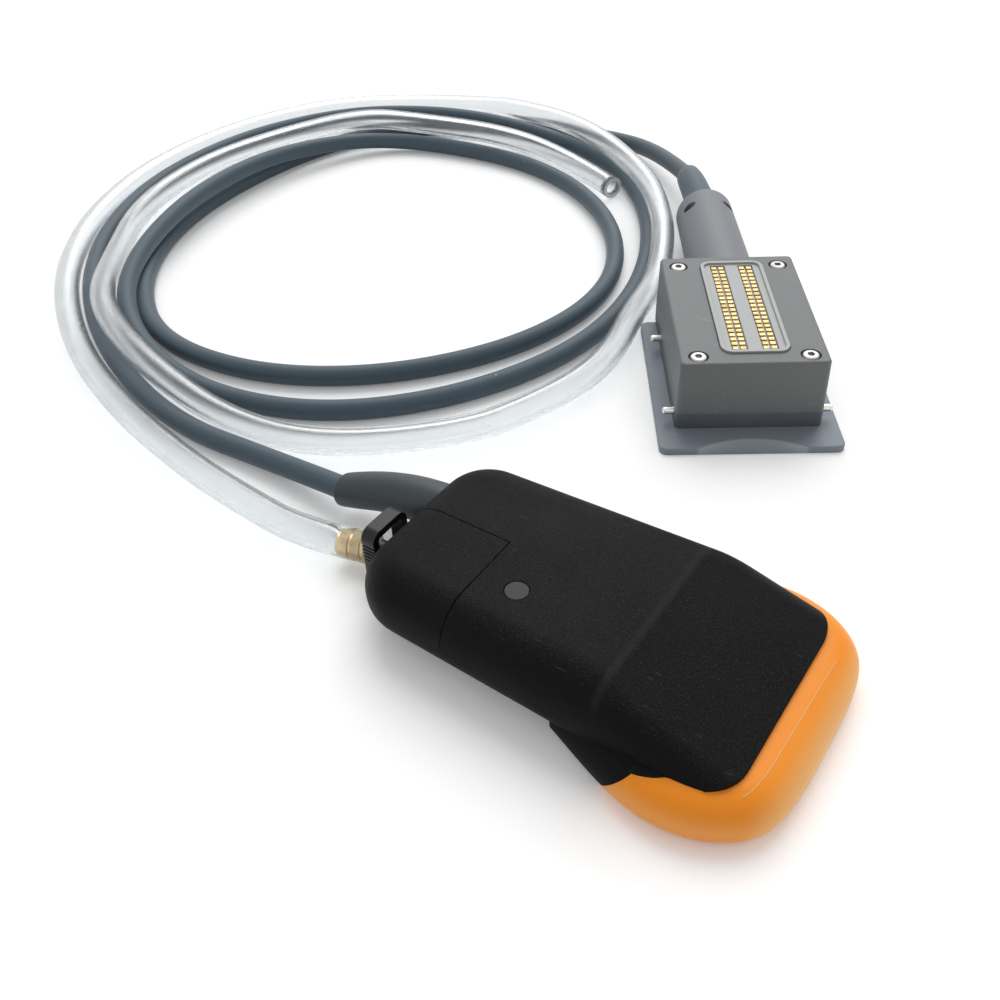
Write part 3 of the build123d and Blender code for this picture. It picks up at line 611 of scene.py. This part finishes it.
@dataclass(frozen=True)
class NoseFinish(MouldedFinish):
    """Orange nose plastic, deep orange next to the black shell, with a painted highlight that pales
    it over the front and low down.
    """

    # Pale colour of the painted highlight over the front and low down.
    highlight_colour: Colour = (1.0, 0.5, 0.2)
    height_share: float = 0.6
    highlight_start: float = 0.052
    highlight_end: float = 0.065
    side_top: float = 0.0115
    side_depth: float = 0.006
    low_highlight_strength: float = 0.4

    def _ground(self, sheet: NodeSheet) -> Socket:
        """Fade from the deep orange at the shell's front edge to a pale painted highlight over the
        front and low down.
        """
        # Painted highlight: paler towards the front, and paler low down.
        parts = sheet.split(sheet.place())
        lowered = sheet.times(parts["Z"], self.height_share)
        ahead = sheet.math("SUBTRACT", parts["X"], lowered)
        front = sheet.step(ahead, self.highlight_start, self.highlight_end)
        above = sheet.step(parts["Z"], self.side_top - self.side_depth, self.side_top)
        side = sheet.times(sheet.inverse(above), self.low_highlight_strength)
        return sheet.blend(sheet.math("MAXIMUM", front, side), self.colour, self.highlight_colour)


class MetalMark(Enum):
    """What the tool left on a metal surface, as a stretch round the object's X axis."""

    TURNED = 0.02
    PLATED = 1.0


@dataclass(frozen=True)
class MetalFinish(Finish):
    """Bare or plated metal with tool marks, tarnish and small scratches."""

    tarnish_colour: Colour
    mark: MetalMark
    mark_scale: float = 4000.0
    mark_depth: float = 0.00001
    tarnish_scale: float = 260.0
    tarnish_amount: float = 0.35
    tarnish_roughness: float = 0.35

    def _inputs(self, sheet: MaterialSheet, effects: SurfaceEffects) -> dict[str, object]:
        """Stretch the tool marks and lay tarnish over the metal."""
        place = sheet.place()
        around = self.mark.value
        stretched = sheet.add("Mapping", {"Vector": place, "Scale": (1.0, around, around)})
        marks = sheet.noise(stretched.outputs["Vector"], self.mark_scale)
        tarnish = sheet.step(sheet.noise(place, self.tarnish_scale, detail=4.0), 0.45, 0.7)
        scuffs = sheet.group(effects.scuffs, Scale=1500.0, Amount=0.5)["Mask"]
        wear = sheet.group(effects.wear, Radius=0.0003, Amount=0.6)
        dulled = sheet.times(tarnish, self.tarnish_amount)
        colour = sheet.blend(dulled, self.colour, self.tarnish_colour)
        bright = sheet.math("MAXIMUM", wear["Mask"], scuffs)
        dull = sheet.times(dulled, self.tarnish_roughness)
        return {
            "Base Color": sheet.blend(bright, colour, self.colour),
            "Metallic": 1.0,
            "Roughness": sheet.math("ADD", dull, self.roughness),
            "Normal": sheet.bump(marks, self.mark_depth, wear["Normal"]),
        }


@dataclass(frozen=True)
class VinylFinish(Finish):
    """Clear soft vinyl, faintly hazy, with fine scuffs."""

    haze_colour: Colour
    scuff_roughness: float = 0.2
    refraction: float = 1.45
    ripple_scale: float = 160.0
    ripple_depth: float = 0.00002

    def _inputs(self, sheet: MaterialSheet, effects: SurfaceEffects) -> dict[str, object]:
        """Let light through the wall, and tint the light that passes to the floor."""
        shade = sheet.group(effects.tone, Scale=90.0, Spread=0.5)["Shade"]
        scuffs = sheet.group(effects.scuffs, Scale=900.0, Amount=0.5)["Mask"]
        base = sheet.times(shade, self.roughness)
        scuffed = sheet.times(scuffs, self.scuff_roughness)
        ripple = sheet.noise(sheet.place(), self.ripple_scale)
        shadow = sheet.add("LightPath").outputs["Is Shadow Ray"]
        passing = sheet.add("BsdfTransparent", {"Color": sheet.opaque(self.colour)})
        layers = {0: shadow, 1: sheet.shader.outputs["BSDF"], 2: passing.outputs["BSDF"]}
        mixed = sheet.add("MixShader", layers)
        sheet.feed(sheet.output.inputs["Surface"], mixed.outputs["Shader"])
        return {
            "Base Color": sheet.blend(scuffs, self.colour, self.haze_colour),
            "Roughness": sheet.math("ADD", base, scuffed),
            "IOR": self.refraction,
            "Transmission Weight": 1.0,
            "Normal": sheet.bump(ripple, self.ripple_depth),
        }


@dataclass(frozen=True)
class BoardFinish(Finish):
    """Coated circuit board with tracks under the coat."""

    track_colour: Colour
    track_scale: float = 220.0
    track_width: float = 0.03
    coat_depth: float = 0.00003

    def _inputs(self, sheet: MaterialSheet, effects: SurfaceEffects) -> dict[str, object]:
        """Show the tracks through the coat."""
        pattern = {
            "Vector": sheet.place(),
            "Scale": self.track_scale,
            "Mortar Size": self.track_width,
        }
        tracks = sheet.add("TexBrick", pattern).outputs["Fac"]
        shade = sheet.group(effects.tone, Spread=0.15)["Shade"]
        colour = sheet.blend(tracks, self.colour, self.track_colour)
        shaded = sheet.add("HueSaturation", {"Color": colour, "Value": shade})
        return {
            "Base Color": shaded.outputs["Color"],
            "Roughness": sheet.times(shade, self.roughness),
            "Normal": sheet.bump(tracks, self.coat_depth),
        }


DUST_COLOUR: Colour = screen_colour(168, 168, 170)

SHELL_NYLON = ShellFinish(
    name="black shell nylon",
    colour=screen_colour(7, 8, 9),
    rubbed_colour=screen_colour(92, 97, 99),
    roughness=0.5,
    grain_scale=3000.0,
    grain_depth=0.00013,
    fleck_density=0.52,
    fleck_strength=0.34,
    tone_spread=0.3,
    scuff_amount=0.12,
    wear_amount=0.14,
    dust_amount=0.0,
    specular=0.08,
)
ORANGE_NOSE = NoseFinish(
    name="orange nose plastic",
    colour=screen_colour(249, 147, 34),
    # Colour of the painted highlight over the front and low down.
    highlight_colour=screen_colour(255, 190, 116),
    rubbed_colour=screen_colour(250, 196, 130),
    roughness=0.42,
    grain_scale=2600.0,
    grain_depth=0.00002,
    fleck_density=0.05,
    fleck_strength=0.1,
    tone_spread=0.03,
    scuff_amount=0.05,
    wear_amount=0.1,
    dust_amount=0.0,
    specular=0.22,
    subsurface=0.25,
)
# Pale orange of the nose's raised line: a painted highlight along its ridge.
NOSE_LINE_HIGHLIGHT = MouldedFinish(
    name="nose ridge painted highlight",
    colour=screen_colour(250, 180, 104),
    rubbed_colour=screen_colour(255, 206, 150),
    roughness=0.3,
    grain_scale=2600.0,
    grain_depth=0.00001,
    subsurface=0.2,
)
MARKER_PLASTIC = MouldedFinish(
    name="marker plastic",
    colour=screen_colour(34, 35, 36),
    rubbed_colour=screen_colour(110, 110, 112),
    roughness=0.5,
    specular=0.3,
    grain_scale=2200.0,
    grain_depth=0.00008,
    fleck_density=0.15,
)
BOOT_RUBBER = MouldedFinish(
    name="boot rubber",
    colour=screen_colour(47, 57, 61),
    rubbed_colour=screen_colour(88, 98, 104),
    roughness=0.45,
    specular=0.4,
    grain_scale=2400.0,
    fleck_density=0.05,
    fleck_strength=0.1,
    scuff_amount=0.12,
    wear_amount=0.12,
    sheen=0.15,
)
CABLE_RUBBER = MouldedFinish(
    name="cable rubber",
    colour=screen_colour(54, 73, 85),
    rubbed_colour=screen_colour(112, 124, 134),
    roughness=0.55,
    grain_scale=2200.0,
    fleck_density=0.05,
    fleck_strength=0.1,
    tone_spread=0.07,
    scuff_amount=0.15,
    wear_amount=0.0,
    sheen=0.2,
)
SOCKET_ACETAL = MouldedFinish(
    name="socket acetal",
    colour=screen_colour(12, 16, 19),
    rubbed_colour=screen_colour(80, 86, 92),
    roughness=0.34,
    specular=0.3,
    grain_scale=2600.0,
    grain_depth=0.00002,
    fleck_density=0.03,
    fleck_strength=0.1,
    wear_amount=0.35,
)
PLATE_PLASTIC = PlateFinish(
    name="base plate plastic",
    # Pale colour of the painted highlight in the thumb scallop.
    scallop_highlight_colour=screen_colour(160, 168, 175),
    colour=screen_colour(124, 133, 142),
    rubbed_colour=screen_colour(150, 157, 166),
    roughness=0.5,
    grain_scale=1700.0,
    grain_depth=0.00006,
    tone_spread=0.06,
    wear_amount=0.35,
)
LOWER_PLASTIC = MouldedFinish(
    name="lower housing plastic",
    colour=screen_colour(84, 91, 98),
    rubbed_colour=screen_colour(146, 150, 157),
    roughness=0.52,
    grain_scale=1700.0,
    grain_depth=0.00007,
    tone_spread=0.06,
    wear_amount=0.35,
)
UPPER_PLASTIC = replace(
    LOWER_PLASTIC,
    name="upper housing plastic",
    colour=screen_colour(104, 107, 108),
    rubbed_colour=screen_colour(160, 161, 164),
    grain_scale=1600.0,
    grain_depth=0.00008,
    scuff_amount=0.25,
    wear_amount=0.4,
)
BARREL_PLASTIC = replace(
    LOWER_PLASTIC,
    name="barrel plastic",
    colour=screen_colour(116, 119, 125),
    rubbed_colour=screen_colour(146, 150, 156),
    wear_amount=0.3,
)
INSERT_PLASTIC = MouldedFinish(
    name="contact insert plastic",
    colour=screen_colour(166, 168, 167),
    rubbed_colour=screen_colour(200, 201, 202),
    roughness=0.45,
    grain_scale=2200.0,
    tone_spread=0.05,
    wear_amount=0.3,
)
ARRAY_RESIN = MouldedFinish(
    name="array resin",
    colour=screen_colour(118, 122, 128),
    rubbed_colour=screen_colour(160, 164, 170),
    roughness=0.4,
    grain_scale=1800.0,
)
NATURAL_NYLON = MouldedFinish(
    name="natural nylon",
    colour=screen_colour(220, 217, 208),
    rubbed_colour=screen_colour(236, 234, 228),
    roughness=0.45,
    grain_scale=1900.0,
    subsurface=0.2,
)
ZINC_SCREW = MetalFinish(
    name="zinc plated steel",
    colour=screen_colour(176, 176, 172),
    tarnish_colour=screen_colour(104, 102, 98),
    roughness=0.38,
    mark=MetalMark.PLATED,
)
BRIGHT_NICKEL = MetalFinish(
    name="bright nickel",
    colour=screen_colour(226, 224, 220),
    tarnish_colour=screen_colour(176, 172, 166),
    roughness=0.18,
    mark=MetalMark.PLATED,
)
TURNED_BRASS = MetalFinish(
    name="turned brass",
    colour=screen_colour(226, 203, 160),
    tarnish_colour=screen_colour(158, 132, 96),
    roughness=0.3,
    mark=MetalMark.TURNED,
)
GOLD_CONTACT = MetalFinish(
    name="gold contact",
    colour=screen_colour(196, 172, 124),
    tarnish_colour=screen_colour(132, 108, 72),
    roughness=0.42,
    mark=MetalMark.PLATED,
)
CLEAR_VINYL = VinylFinish(
    name="clear vinyl",
    colour=screen_colour(241, 243, 244),
    haze_colour=screen_colour(206, 211, 214),
    roughness=0.2,
)
CUT_VINYL = MouldedFinish(
    name="cut vinyl",
    colour=screen_colour(214, 218, 219),
    rubbed_colour=screen_colour(236, 238, 238),
    roughness=0.5,
    grain_scale=2500.0,
    wear_amount=0.0,
)
BOARD_GREEN = BoardFinish(
    name="coated board",
    colour=screen_colour(28, 92, 62),
    track_colour=screen_colour(58, 132, 88),
    roughness=0.35,
)


class FinishShelf:
    """Keeps one material for each finish."""

    def __init__(self, effects: SurfaceEffects) -> None:
        """Start with an empty shelf.

        Args:
            effects: The shared node groups.
        """
        self.effects = effects
        self.made: dict[str, bpy.types.Material] = {}

    def get(self, finish: Finish) -> bpy.types.Material:
        """Take a finish's material, made on first use.

        Args:
            finish: The finish.

        Returns:
            Its material.
        """
        if finish.name not in self.made:
            self.made[finish.name] = finish.material(self.effects)
        return self.made[finish.name]

    def dress(self, piece: bpy.types.Object, finish: Finish) -> None:
        """Give a piece one material all over.

        Args:
            piece: A solid or a piece made here.
            finish: Its finish.
        """
        piece.data.materials.clear()
        piece.data.materials.append(self.get(finish))


# Routes of the cords, as points listed from the handset outwards

CABLE_ROUTE: list[Point] = [
    (-0.0936, 0.0081, 0.0087),
    (-0.125, 0.0102, 0.0042),
    (-0.177, 0.0065, 0.0039),
    (-0.2375, 0.027, 0.0039),
    (-0.287, 0.059, 0.0039),
    (-0.323, 0.102, 0.0039),
    (-0.3425, 0.1535, 0.0039),
    (-0.3415, 0.207, 0.0039),
    (-0.322, 0.2475, 0.0047),
    (-0.286, 0.2645, 0.0098),
    (-0.2305, 0.273, 0.0145),
    (-0.18, 0.2825, 0.0074),
    (-0.1405, 0.271, 0.0039),
    (-0.104, 0.2315, 0.004),
    (-0.079, 0.177, 0.0041),
    (-0.0755, 0.1235, 0.0039),
    (-0.0965, 0.073, 0.0039),
    (-0.134, 0.037, 0.0039),
    (-0.1825, 0.025, 0.0039),
    (-0.2315, 0.037, 0.0053),
    (-0.266, 0.063, 0.0102),
    (-0.2885, 0.1145, 0.0143),
    (-0.2965, 0.1705, 0.0132),
    (-0.287, 0.217, 0.009),
    (-0.262, 0.2485, 0.0045),
    (-0.201, 0.2585, 0.0039),
    (-0.152, 0.2455, 0.004),
    (-0.111, 0.2125, 0.0039),
    (-0.088, 0.166, 0.0039),
    (-0.0945, 0.1155, 0.0039),
    (-0.126, 0.0705, 0.0039),
    (-0.1715, 0.0435, 0.0039),
    (-0.2235, 0.0415, 0.0039),
    (-0.265, 0.0695, 0.0039),
    (-0.2915, 0.111, 0.0039),
    (-0.3015, 0.162, 0.0039),
    (-0.296, 0.22, 0.0039),
    (-0.276, 0.2575, 0.0039),
    (-0.228, 0.2925, 0.0041),
    (-0.17, 0.306, 0.0039),
    (-0.1305, 0.291, 0.0084),
    (-0.101, 0.2602, 0.014),
]
HOSE_ROUTE: list[Point] = [
    (-0.069, -0.0071, 0.0075),
    (-0.0922, -0.0129, 0.0063),
    (-0.124, -0.0105, 0.0053),
    (-0.153, -0.0071, 0.0051),
    (-0.1951, 0.0018, 0.0051),
    (-0.24, 0.018, 0.0052),
    (-0.2798, 0.0421, 0.0055),
    (-0.3074, 0.067, 0.0055),
    (-0.3324, 0.1005, 0.0054),
    (-0.3502, 0.1452, 0.0053),
    (-0.3529, 0.191, 0.0052),
    (-0.3434, 0.2335, 0.0051),
    (-0.3211, 0.2697, 0.0051),
    (-0.2855, 0.2927, 0.0052),
    (-0.2477, 0.2979, 0.0091),
    (-0.2207, 0.2966, 0.013),
    (-0.1695, 0.2855, 0.0154),
    (-0.1197, 0.2533, 0.0136),
    (-0.0974, 0.2269, 0.0118),
    (-0.0826, 0.2007, 0.0114),
    (-0.071, 0.1724, 0.0108),
    (-0.0685, 0.1478, 0.0082),
    (-0.0633, 0.1261, 0.0069),
    (-0.0631, 0.1047, 0.0059),
    (-0.0702, 0.0809, 0.0054),
    (-0.0816, 0.0562, 0.0051),
    (-0.119, 0.024, 0.0051),
    (-0.1573, 0.0165, 0.0053),
    (-0.2005, 0.021, 0.0109),
    (-0.2352, 0.0323, 0.0125),
    (-0.2589, 0.0459, 0.0127),
    (-0.2907, 0.0775, 0.0057),
    (-0.322, 0.1195, 0.0053),
    (-0.3324, 0.1729, 0.0051),
    (-0.318, 0.22, 0.0061),
    (-0.2852, 0.244, 0.0136),
    (-0.2548, 0.2533, 0.0134),
    (-0.2014, 0.2624, 0.0132),
    (-0.163, 0.2634, 0.0056),
    (-0.135, 0.2496, 0.0051),
]

# The nose's mould line: places across and along the handset, from its near to its far side
NOSE_LINE_PLACES: list[tuple[float, float]] = [
    (-0.0298, 0.0578),
    (-0.0270, 0.0591),
    (-0.0220, 0.0600),
    (-0.0110, 0.0604),
    (0.0, 0.0606),
    (0.0110, 0.0609),
    (0.0215, 0.0612),
]


# Sub-assemblies


class SubAssembly:
    """Solids that are dressed together, each with its own finish."""

    title = "sub-assembly"
    finishes: dict[str, Finish] = {}

    def dress(self, frame: dict, shelf: FinishShelf) -> None:
        """Give every solid of the sub-assembly its finish.

        Args:
            shelf: The shelf of finishes.
        """
        for node, finish in self.finishes.items():
            shelf.dress(frame["nodes"][node], finish)
            log.info("%s: %s in %s", self.title, node, finish.name)


class Handset(SubAssembly):
    """The two shells, rear cover, orange nose and what they hold."""

    title = "handset"
    finishes = {
        "top_shell": SHELL_NYLON,
        "bottom_shell": SHELL_NYLON,
        "rear_cover": SHELL_NYLON,
        "nose_cap": ORANGE_NOSE,
        "marker_plug": MARKER_PLASTIC,
        "shell_screws": ZINC_SCREW,
        "array_module": ARRAY_RESIN,
        "signal_board": BOARD_GREEN,
        "cable_clamp": NATURAL_NYLON,
        "fluid_duct": NATURAL_NYLON,
        "cable_boot": BOOT_RUBBER,
    }


@dataclass
class NoseLine:
    """Fine raised mould line along the top of the nose, where its front rounding starts, with a
    highlight painted in its pale colour.
    """

    bead: float = 0.00016
    sink: float = 0.00005
    steps: int = 5
    probe_height: float = 0.03
    smoothness: int = 12
    roundness: int = 3

    def build(self, frame: dict, shelf: FinishShelf) -> bpy.types.Object:
        """Lay the line on the nose's surface.

        Args:
            shelf: The shelf of finishes.

        Returns:
            The line.
        """
        nose = frame["nodes"]["nose_cap"]
        down = Vector((0.0, 0.0, -1.0))
        route = []
        for start, end in zip(NOSE_LINE_PLACES, NOSE_LINE_PLACES[1:]):
            for step in range(self.steps):
                across, along = Vector(start).lerp(Vector(end), step / self.steps)
                above = Vector((along, across, self.probe_height))
                found, place, _, _ = nose.ray_cast(above, down)
                if found:
                    route.append((place.x, place.y, place.z - self.sink))
        # The line is a real raised ridge whose pale colour is a painted highlight.
        line = cord_curve("nose_ridge_painted_highlight", route, self.smoothness, self.bead, self.roundness)
        shelf.dress(line, NOSE_LINE_HIGHLIGHT)
        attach(line, "probe")
        log.info("handset: mould line with %d points on the nose", len(route))
        return line


class HoseCoupling(SubAssembly):
    """The socket, the brass barb and the sprung latch ring."""

    title = "hose coupling"
    finishes = {
        "hose_socket": SOCKET_ACETAL,
        "hose_barb": TURNED_BRASS,
        "latch_ring": SOCKET_ACETAL,
    }


class Connector(SubAssembly):
    """The box with its contact face, base plate, pins, barrel and strain relief."""

    title = "connector"
    finishes = {
        "base_plate": PLATE_PLASTIC,
        "lower_housing": LOWER_PLASTIC,
        "upper_housing": UPPER_PLASTIC,
        "contact_insert": INSERT_PLASTIC,
        "left_contacts": GOLD_CONTACT,
        "right_contacts": GOLD_CONTACT,
        "connector_board": BOARD_GREEN,
        "connector_screws": ZINC_SCREW,
        "guide_pins": BRIGHT_NICKEL,
        "barrel_top": BARREL_PLASTIC,
        "barrel_bottom": BARREL_PLASTIC,
        "barrel_screws": ZINC_SCREW,
        "connector_boot": CABLE_RUBBER,
    }


def cord_curve(
    name: str, route: list[Point], smoothness: int, radius: float = 0.0, roundness: int = 0
) -> bpy.types.Object:
    """Draw a cord's centreline as one open curve that its given points pull.

    Args:
        name: The object's name.
        route: The cord's points, from its exit to its far end.
        smoothness: Curve steps between two points.
        radius: Half the cord's thickness, or 0 for a bare line.
        roundness: How finely its section is rounded.

    Returns:
        The curve's object, linked to the scene.
    """
    data = bpy.data.curves.new(name, "CURVE")
    data.dimensions = "3D"
    spline = data.splines.new("NURBS")
    spline.points.add(len(route) - 1)
    for place, point in zip(route, spline.points):
        point.co = (*place, 1.0)
    spline.order_u = 3
    spline.use_endpoint_u = True
    data.resolution_u = smoothness
    data.bevel_depth = radius
    data.bevel_resolution = roundness
    data.use_fill_caps = radius > 0.0
    return linked_object(name, data)


@dataclass
class Cable:
    """The probe's cable, from the handset's boot to the connector's sleeve."""

    length: float = 2.08
    diameter: float = 0.0077
    smoothness: int = 16
    roundness: int = 8

    def build(self, frame: dict, shelf: FinishShelf) -> bpy.types.Object:
        """Lay the cable and put it in the place of its solid.

        Args:
            shelf: The shelf of finishes.

        Returns:
            The cable.
        """
        radius = self.diameter / 2
        cable = cord_curve("probe_cable", CABLE_ROUTE, self.smoothness, radius, self.roundness)
        shelf.dress(cable, CABLE_RUBBER)
        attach(cable, "probe")
        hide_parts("cable")
        log.info("cable: %.2f m laid in nearly three loose turns", self.length)
        return cable


@dataclass
class ClearHose:
    """The clear hose, pushed over the barb, with an open far end."""

    length: float = 1.5
    diameter: float = 0.010
    bore: float = 0.0066
    barb_bore: float = 0.0048
    barb_length: float = 0.0132
    sides: int = 24
    smoothness: int = 14

    def build(self, frame: dict, shelf: FinishShelf) -> bpy.types.Object:
        """Lay the hose and put it in the place of its solid.

        Args:
            shelf: The shelf of finishes.

        Returns:
            The hose.
        """
        path = self._centreline()
        hose = self._tube(path)
        shelf.dress(hose, CLEAR_VINYL)
        hose.data.materials.append(shelf.get(CUT_VINYL))
        for face in hose.data.polygons[-2 * self.sides :]:
            face.material_index = 1
            face.use_smooth = False
        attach(hose, "probe")
        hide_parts("clear_hose")
        log.info("clear hose: %.2f m, %d points along it", self.length, len(path))
        return hose

    def _centreline(self) -> list[Vector]:
        """Read the points along the hose's guide curve.

        Returns:
            Places along the hose, from the barb to its open end.
        """
        guide = cord_curve("hose_guide", HOSE_ROUTE, self.smoothness)
        line = bpy.data.meshes.new_from_object(guide)
        path = [vertex.co.copy() for vertex in line.vertices]
        bpy.data.objects.remove(guide)
        bpy.data.meshes.remove(line)
        return path

    def _tube(self, path: list[Vector]) -> bpy.types.Object:
        """Make the hose's wall along its centreline, with both ends open.

        Args:
            path: Places along the hose.

        Returns:
            The tube's object, linked to the scene.
        """
        verts: list[Vector] = []
        side = Vector((0.0, 0.0, 1.0))
        travelled = 0.0
        for index, here in enumerate(path):
            before = path[max(index - 1, 0)]
            after = path[min(index + 1, len(path) - 1)]
            heading = (after - before).normalized()
            side = (side - heading * side.dot(heading)).normalized()
            other = heading.cross(side)
            travelled += (here - before).length
            bore = self.barb_bore if travelled < self.barb_length else self.bore
            for radius in (self.diameter / 2, bore / 2):
                for step in range(self.sides):
                    angle = math.tau * step / self.sides
                    verts.append(here + (side * math.cos(angle) + other * math.sin(angle)) * radius)
        mesh = bpy.data.meshes.new("clear_hose_tube")
        mesh.from_pydata(verts, [], self._faces(len(path)))
        mesh.validate()
        mesh.shade_smooth()
        return linked_object("clear_hose_tube", mesh)

    def _faces(self, count: int) -> list[tuple[int, int, int, int]]:
        """Join the rings of the hose's wall, outside and inside, and then both cut ends.

        Args:
            count: How many places the hose has along it, each with an outer and an inner ring.

        Returns:
            The corners of every face, with those of the cut ends last.
        """
        pair = 2 * self.sides
        last = (count - 1) * pair
        edges = [(step, (step + 1) % self.sides) for step in range(self.sides)]
        faces = []
        for start in range(0, last, pair):
            beyond = start + pair
            for here, after in edges:
                faces.append((start + here, start + after, beyond + after, beyond + here))
                near, far = start + self.sides, beyond + self.sides
                faces.append((near + here, far + here, far + after, near + after))
        cut = last + self.sides
        for here, after in edges:
            faces.append((here, self.sides + here, self.sides + after, after))
            faces.append((last + here, last + after, cut + after, cut + here))
        return faces


# Studio


@dataclass
class Studio:
    """White floor, soft light from behind, and the photograph's camera."""

    floor_size: float = 12.0
    camera_place: Point = (0.0934, -0.1649, 0.2183)
    heading_degrees: float = 36.30
    dip_degrees: float = 40.97
    roll_degrees: float = -2.82
    lens: float = 37.1
    sensor: float = 36.0
    sun_strength: float = 1.65
    sun_spread_degrees: float = 50.0
    sun_place: Point = (-0.3, 0.7, 0.8)
    sun_direction: Point = (0.3, -0.7, -0.9)
    sky_strength: float = 0.6
    dim_share: float = 0.65
    bright_share: float = 1.35
    bright_side: Point = (-0.5, 0.87, 0.0)
    floor_lift: float = 0.13
    nearest_seen: float = 0.01

    def build(self) -> None:
        """Make the floor, the light and the camera."""
        self._floor()
        self._sky()
        self._lamps()
        self._camera()
        bpy.context.scene.view_settings.view_transform = "Standard"
        log.info("studio: floor, sky, lamps and camera")

    @staticmethod
    def _seen(sheet: NodeSheet) -> Socket:
        """Tell rays that show the background from rays that only light the object.

        Args:
            sheet: The material's or world's sheet.

        Returns:
            1 for camera, glossy and transmission rays, else 0.
        """
        path = sheet.add("LightPath")
        seen = sheet.math("MAXIMUM", path.outputs["Is Camera Ray"], path.outputs["Is Glossy Ray"])
        return sheet.math("MAXIMUM", seen, path.outputs["Is Transmission Ray"])

    def _floor(self) -> None:
        """Lay a plain white floor that keeps the object's shadow."""
        half = self.floor_size / 2
        mesh = bpy.data.meshes.new("floor")
        corners = [(-half, -half, 0), (half, -half, 0), (half, half, 0), (-half, half, 0)]
        mesh.from_pydata(corners, [], [(0, 1, 2, 3)])
        sheet = MaterialSheet("white floor")
        white = sheet.finish(
            {
                "Base Color": (0.97, 0.97, 0.97, 1.0),
                "Specular IOR Level": 0.0,
                "Roughness": 1.0,
                "Emission Color": (1.0, 1.0, 1.0, 1.0),
                "Emission Strength": sheet.times(self._seen(sheet), self.floor_lift),
            }
        )
        mesh.materials.append(white)
        linked_object("floor", mesh)

    def _sky(self) -> None:
        """Light softly, a little more from behind, and show white wherever the sky is seen."""
        world = bpy.data.worlds.new("studio sky")
        bpy.context.scene.world = world
        world.use_nodes = True
        sheet = NodeSheet(world.node_tree)
        ways = {0: sheet.add("TexCoord").outputs["Generated"], 1: self.bright_side}
        ahead = sheet.add("VectorMath", ways, operation="DOT_PRODUCT").outputs["Value"]
        light = {
            "Value": ahead,
            "From Min": -1.0,
            "To Min": self.sky_strength * self.dim_share,
            "To Max": self.sky_strength * self.bright_share,
        }
        lit = sheet.add("MapRange", light).outputs["Result"]
        choice = {0: self._seen(sheet), 2: lit, 3: 1.0}
        strength = sheet.add("Mix", choice, data_type="FLOAT").outputs[0]
        glow = sheet.add("Background", {"Color": (1.0, 1.0, 1.0, 1.0), "Strength": strength})
        sheet.add("OutputWorld", {"Surface": glow.outputs["Background"]})

    def _lamps(self) -> None:
        """Hang one wide soft sun behind the object."""
        data = bpy.data.lights.new("soft key", "SUN")
        data.energy = self.sun_strength
        data.angle = math.radians(self.sun_spread_degrees)
        key = linked_object("soft key", data)
        key.location = self.sun_place
        key.rotation_mode = "QUATERNION"
        key.rotation_quaternion = Vector(self.sun_direction).to_track_quat("-Z", "Y")

    def _camera(self) -> None:
        """Stand the camera where the photograph was taken."""
        dip = math.radians(self.dip_degrees)
        turn = math.radians(self.heading_degrees)
        look = Vector(
            (-math.sin(turn) * math.cos(dip), math.cos(turn) * math.cos(dip), -math.sin(dip))
        )
        roll = Quaternion((0.0, 0.0, 1.0), math.radians(self.roll_degrees))
        data = bpy.data.cameras.new("photo camera")
        data.sensor_width = self.sensor
        data.lens = self.lens
        data.clip_start = self.nearest_seen
        camera = linked_object("photo camera", data)
        camera.location = self.camera_place
        camera.rotation_mode = "QUATERNION"
        camera.rotation_quaternion = look.to_track_quat("-Z", "Y") @ roll
        bpy.context.scene.camera = camera


def main() -> None:
    """Load the solids, lay the cords, dress every piece and set the studio."""
    logging.basicConfig(level=logging.INFO, format="%(message)s")
    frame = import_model()
    shelf = FinishShelf(SurfaceEffects())
    Studio().build()
    Cable().build(frame, shelf)
    ClearHose().build(frame, shelf)
    for assembly in (Handset(), HoseCoupling(), Connector()):
        assembly.dress(frame, shelf)
    NoseLine().build(frame, shelf)


if __name__ == "__main__":
    main()
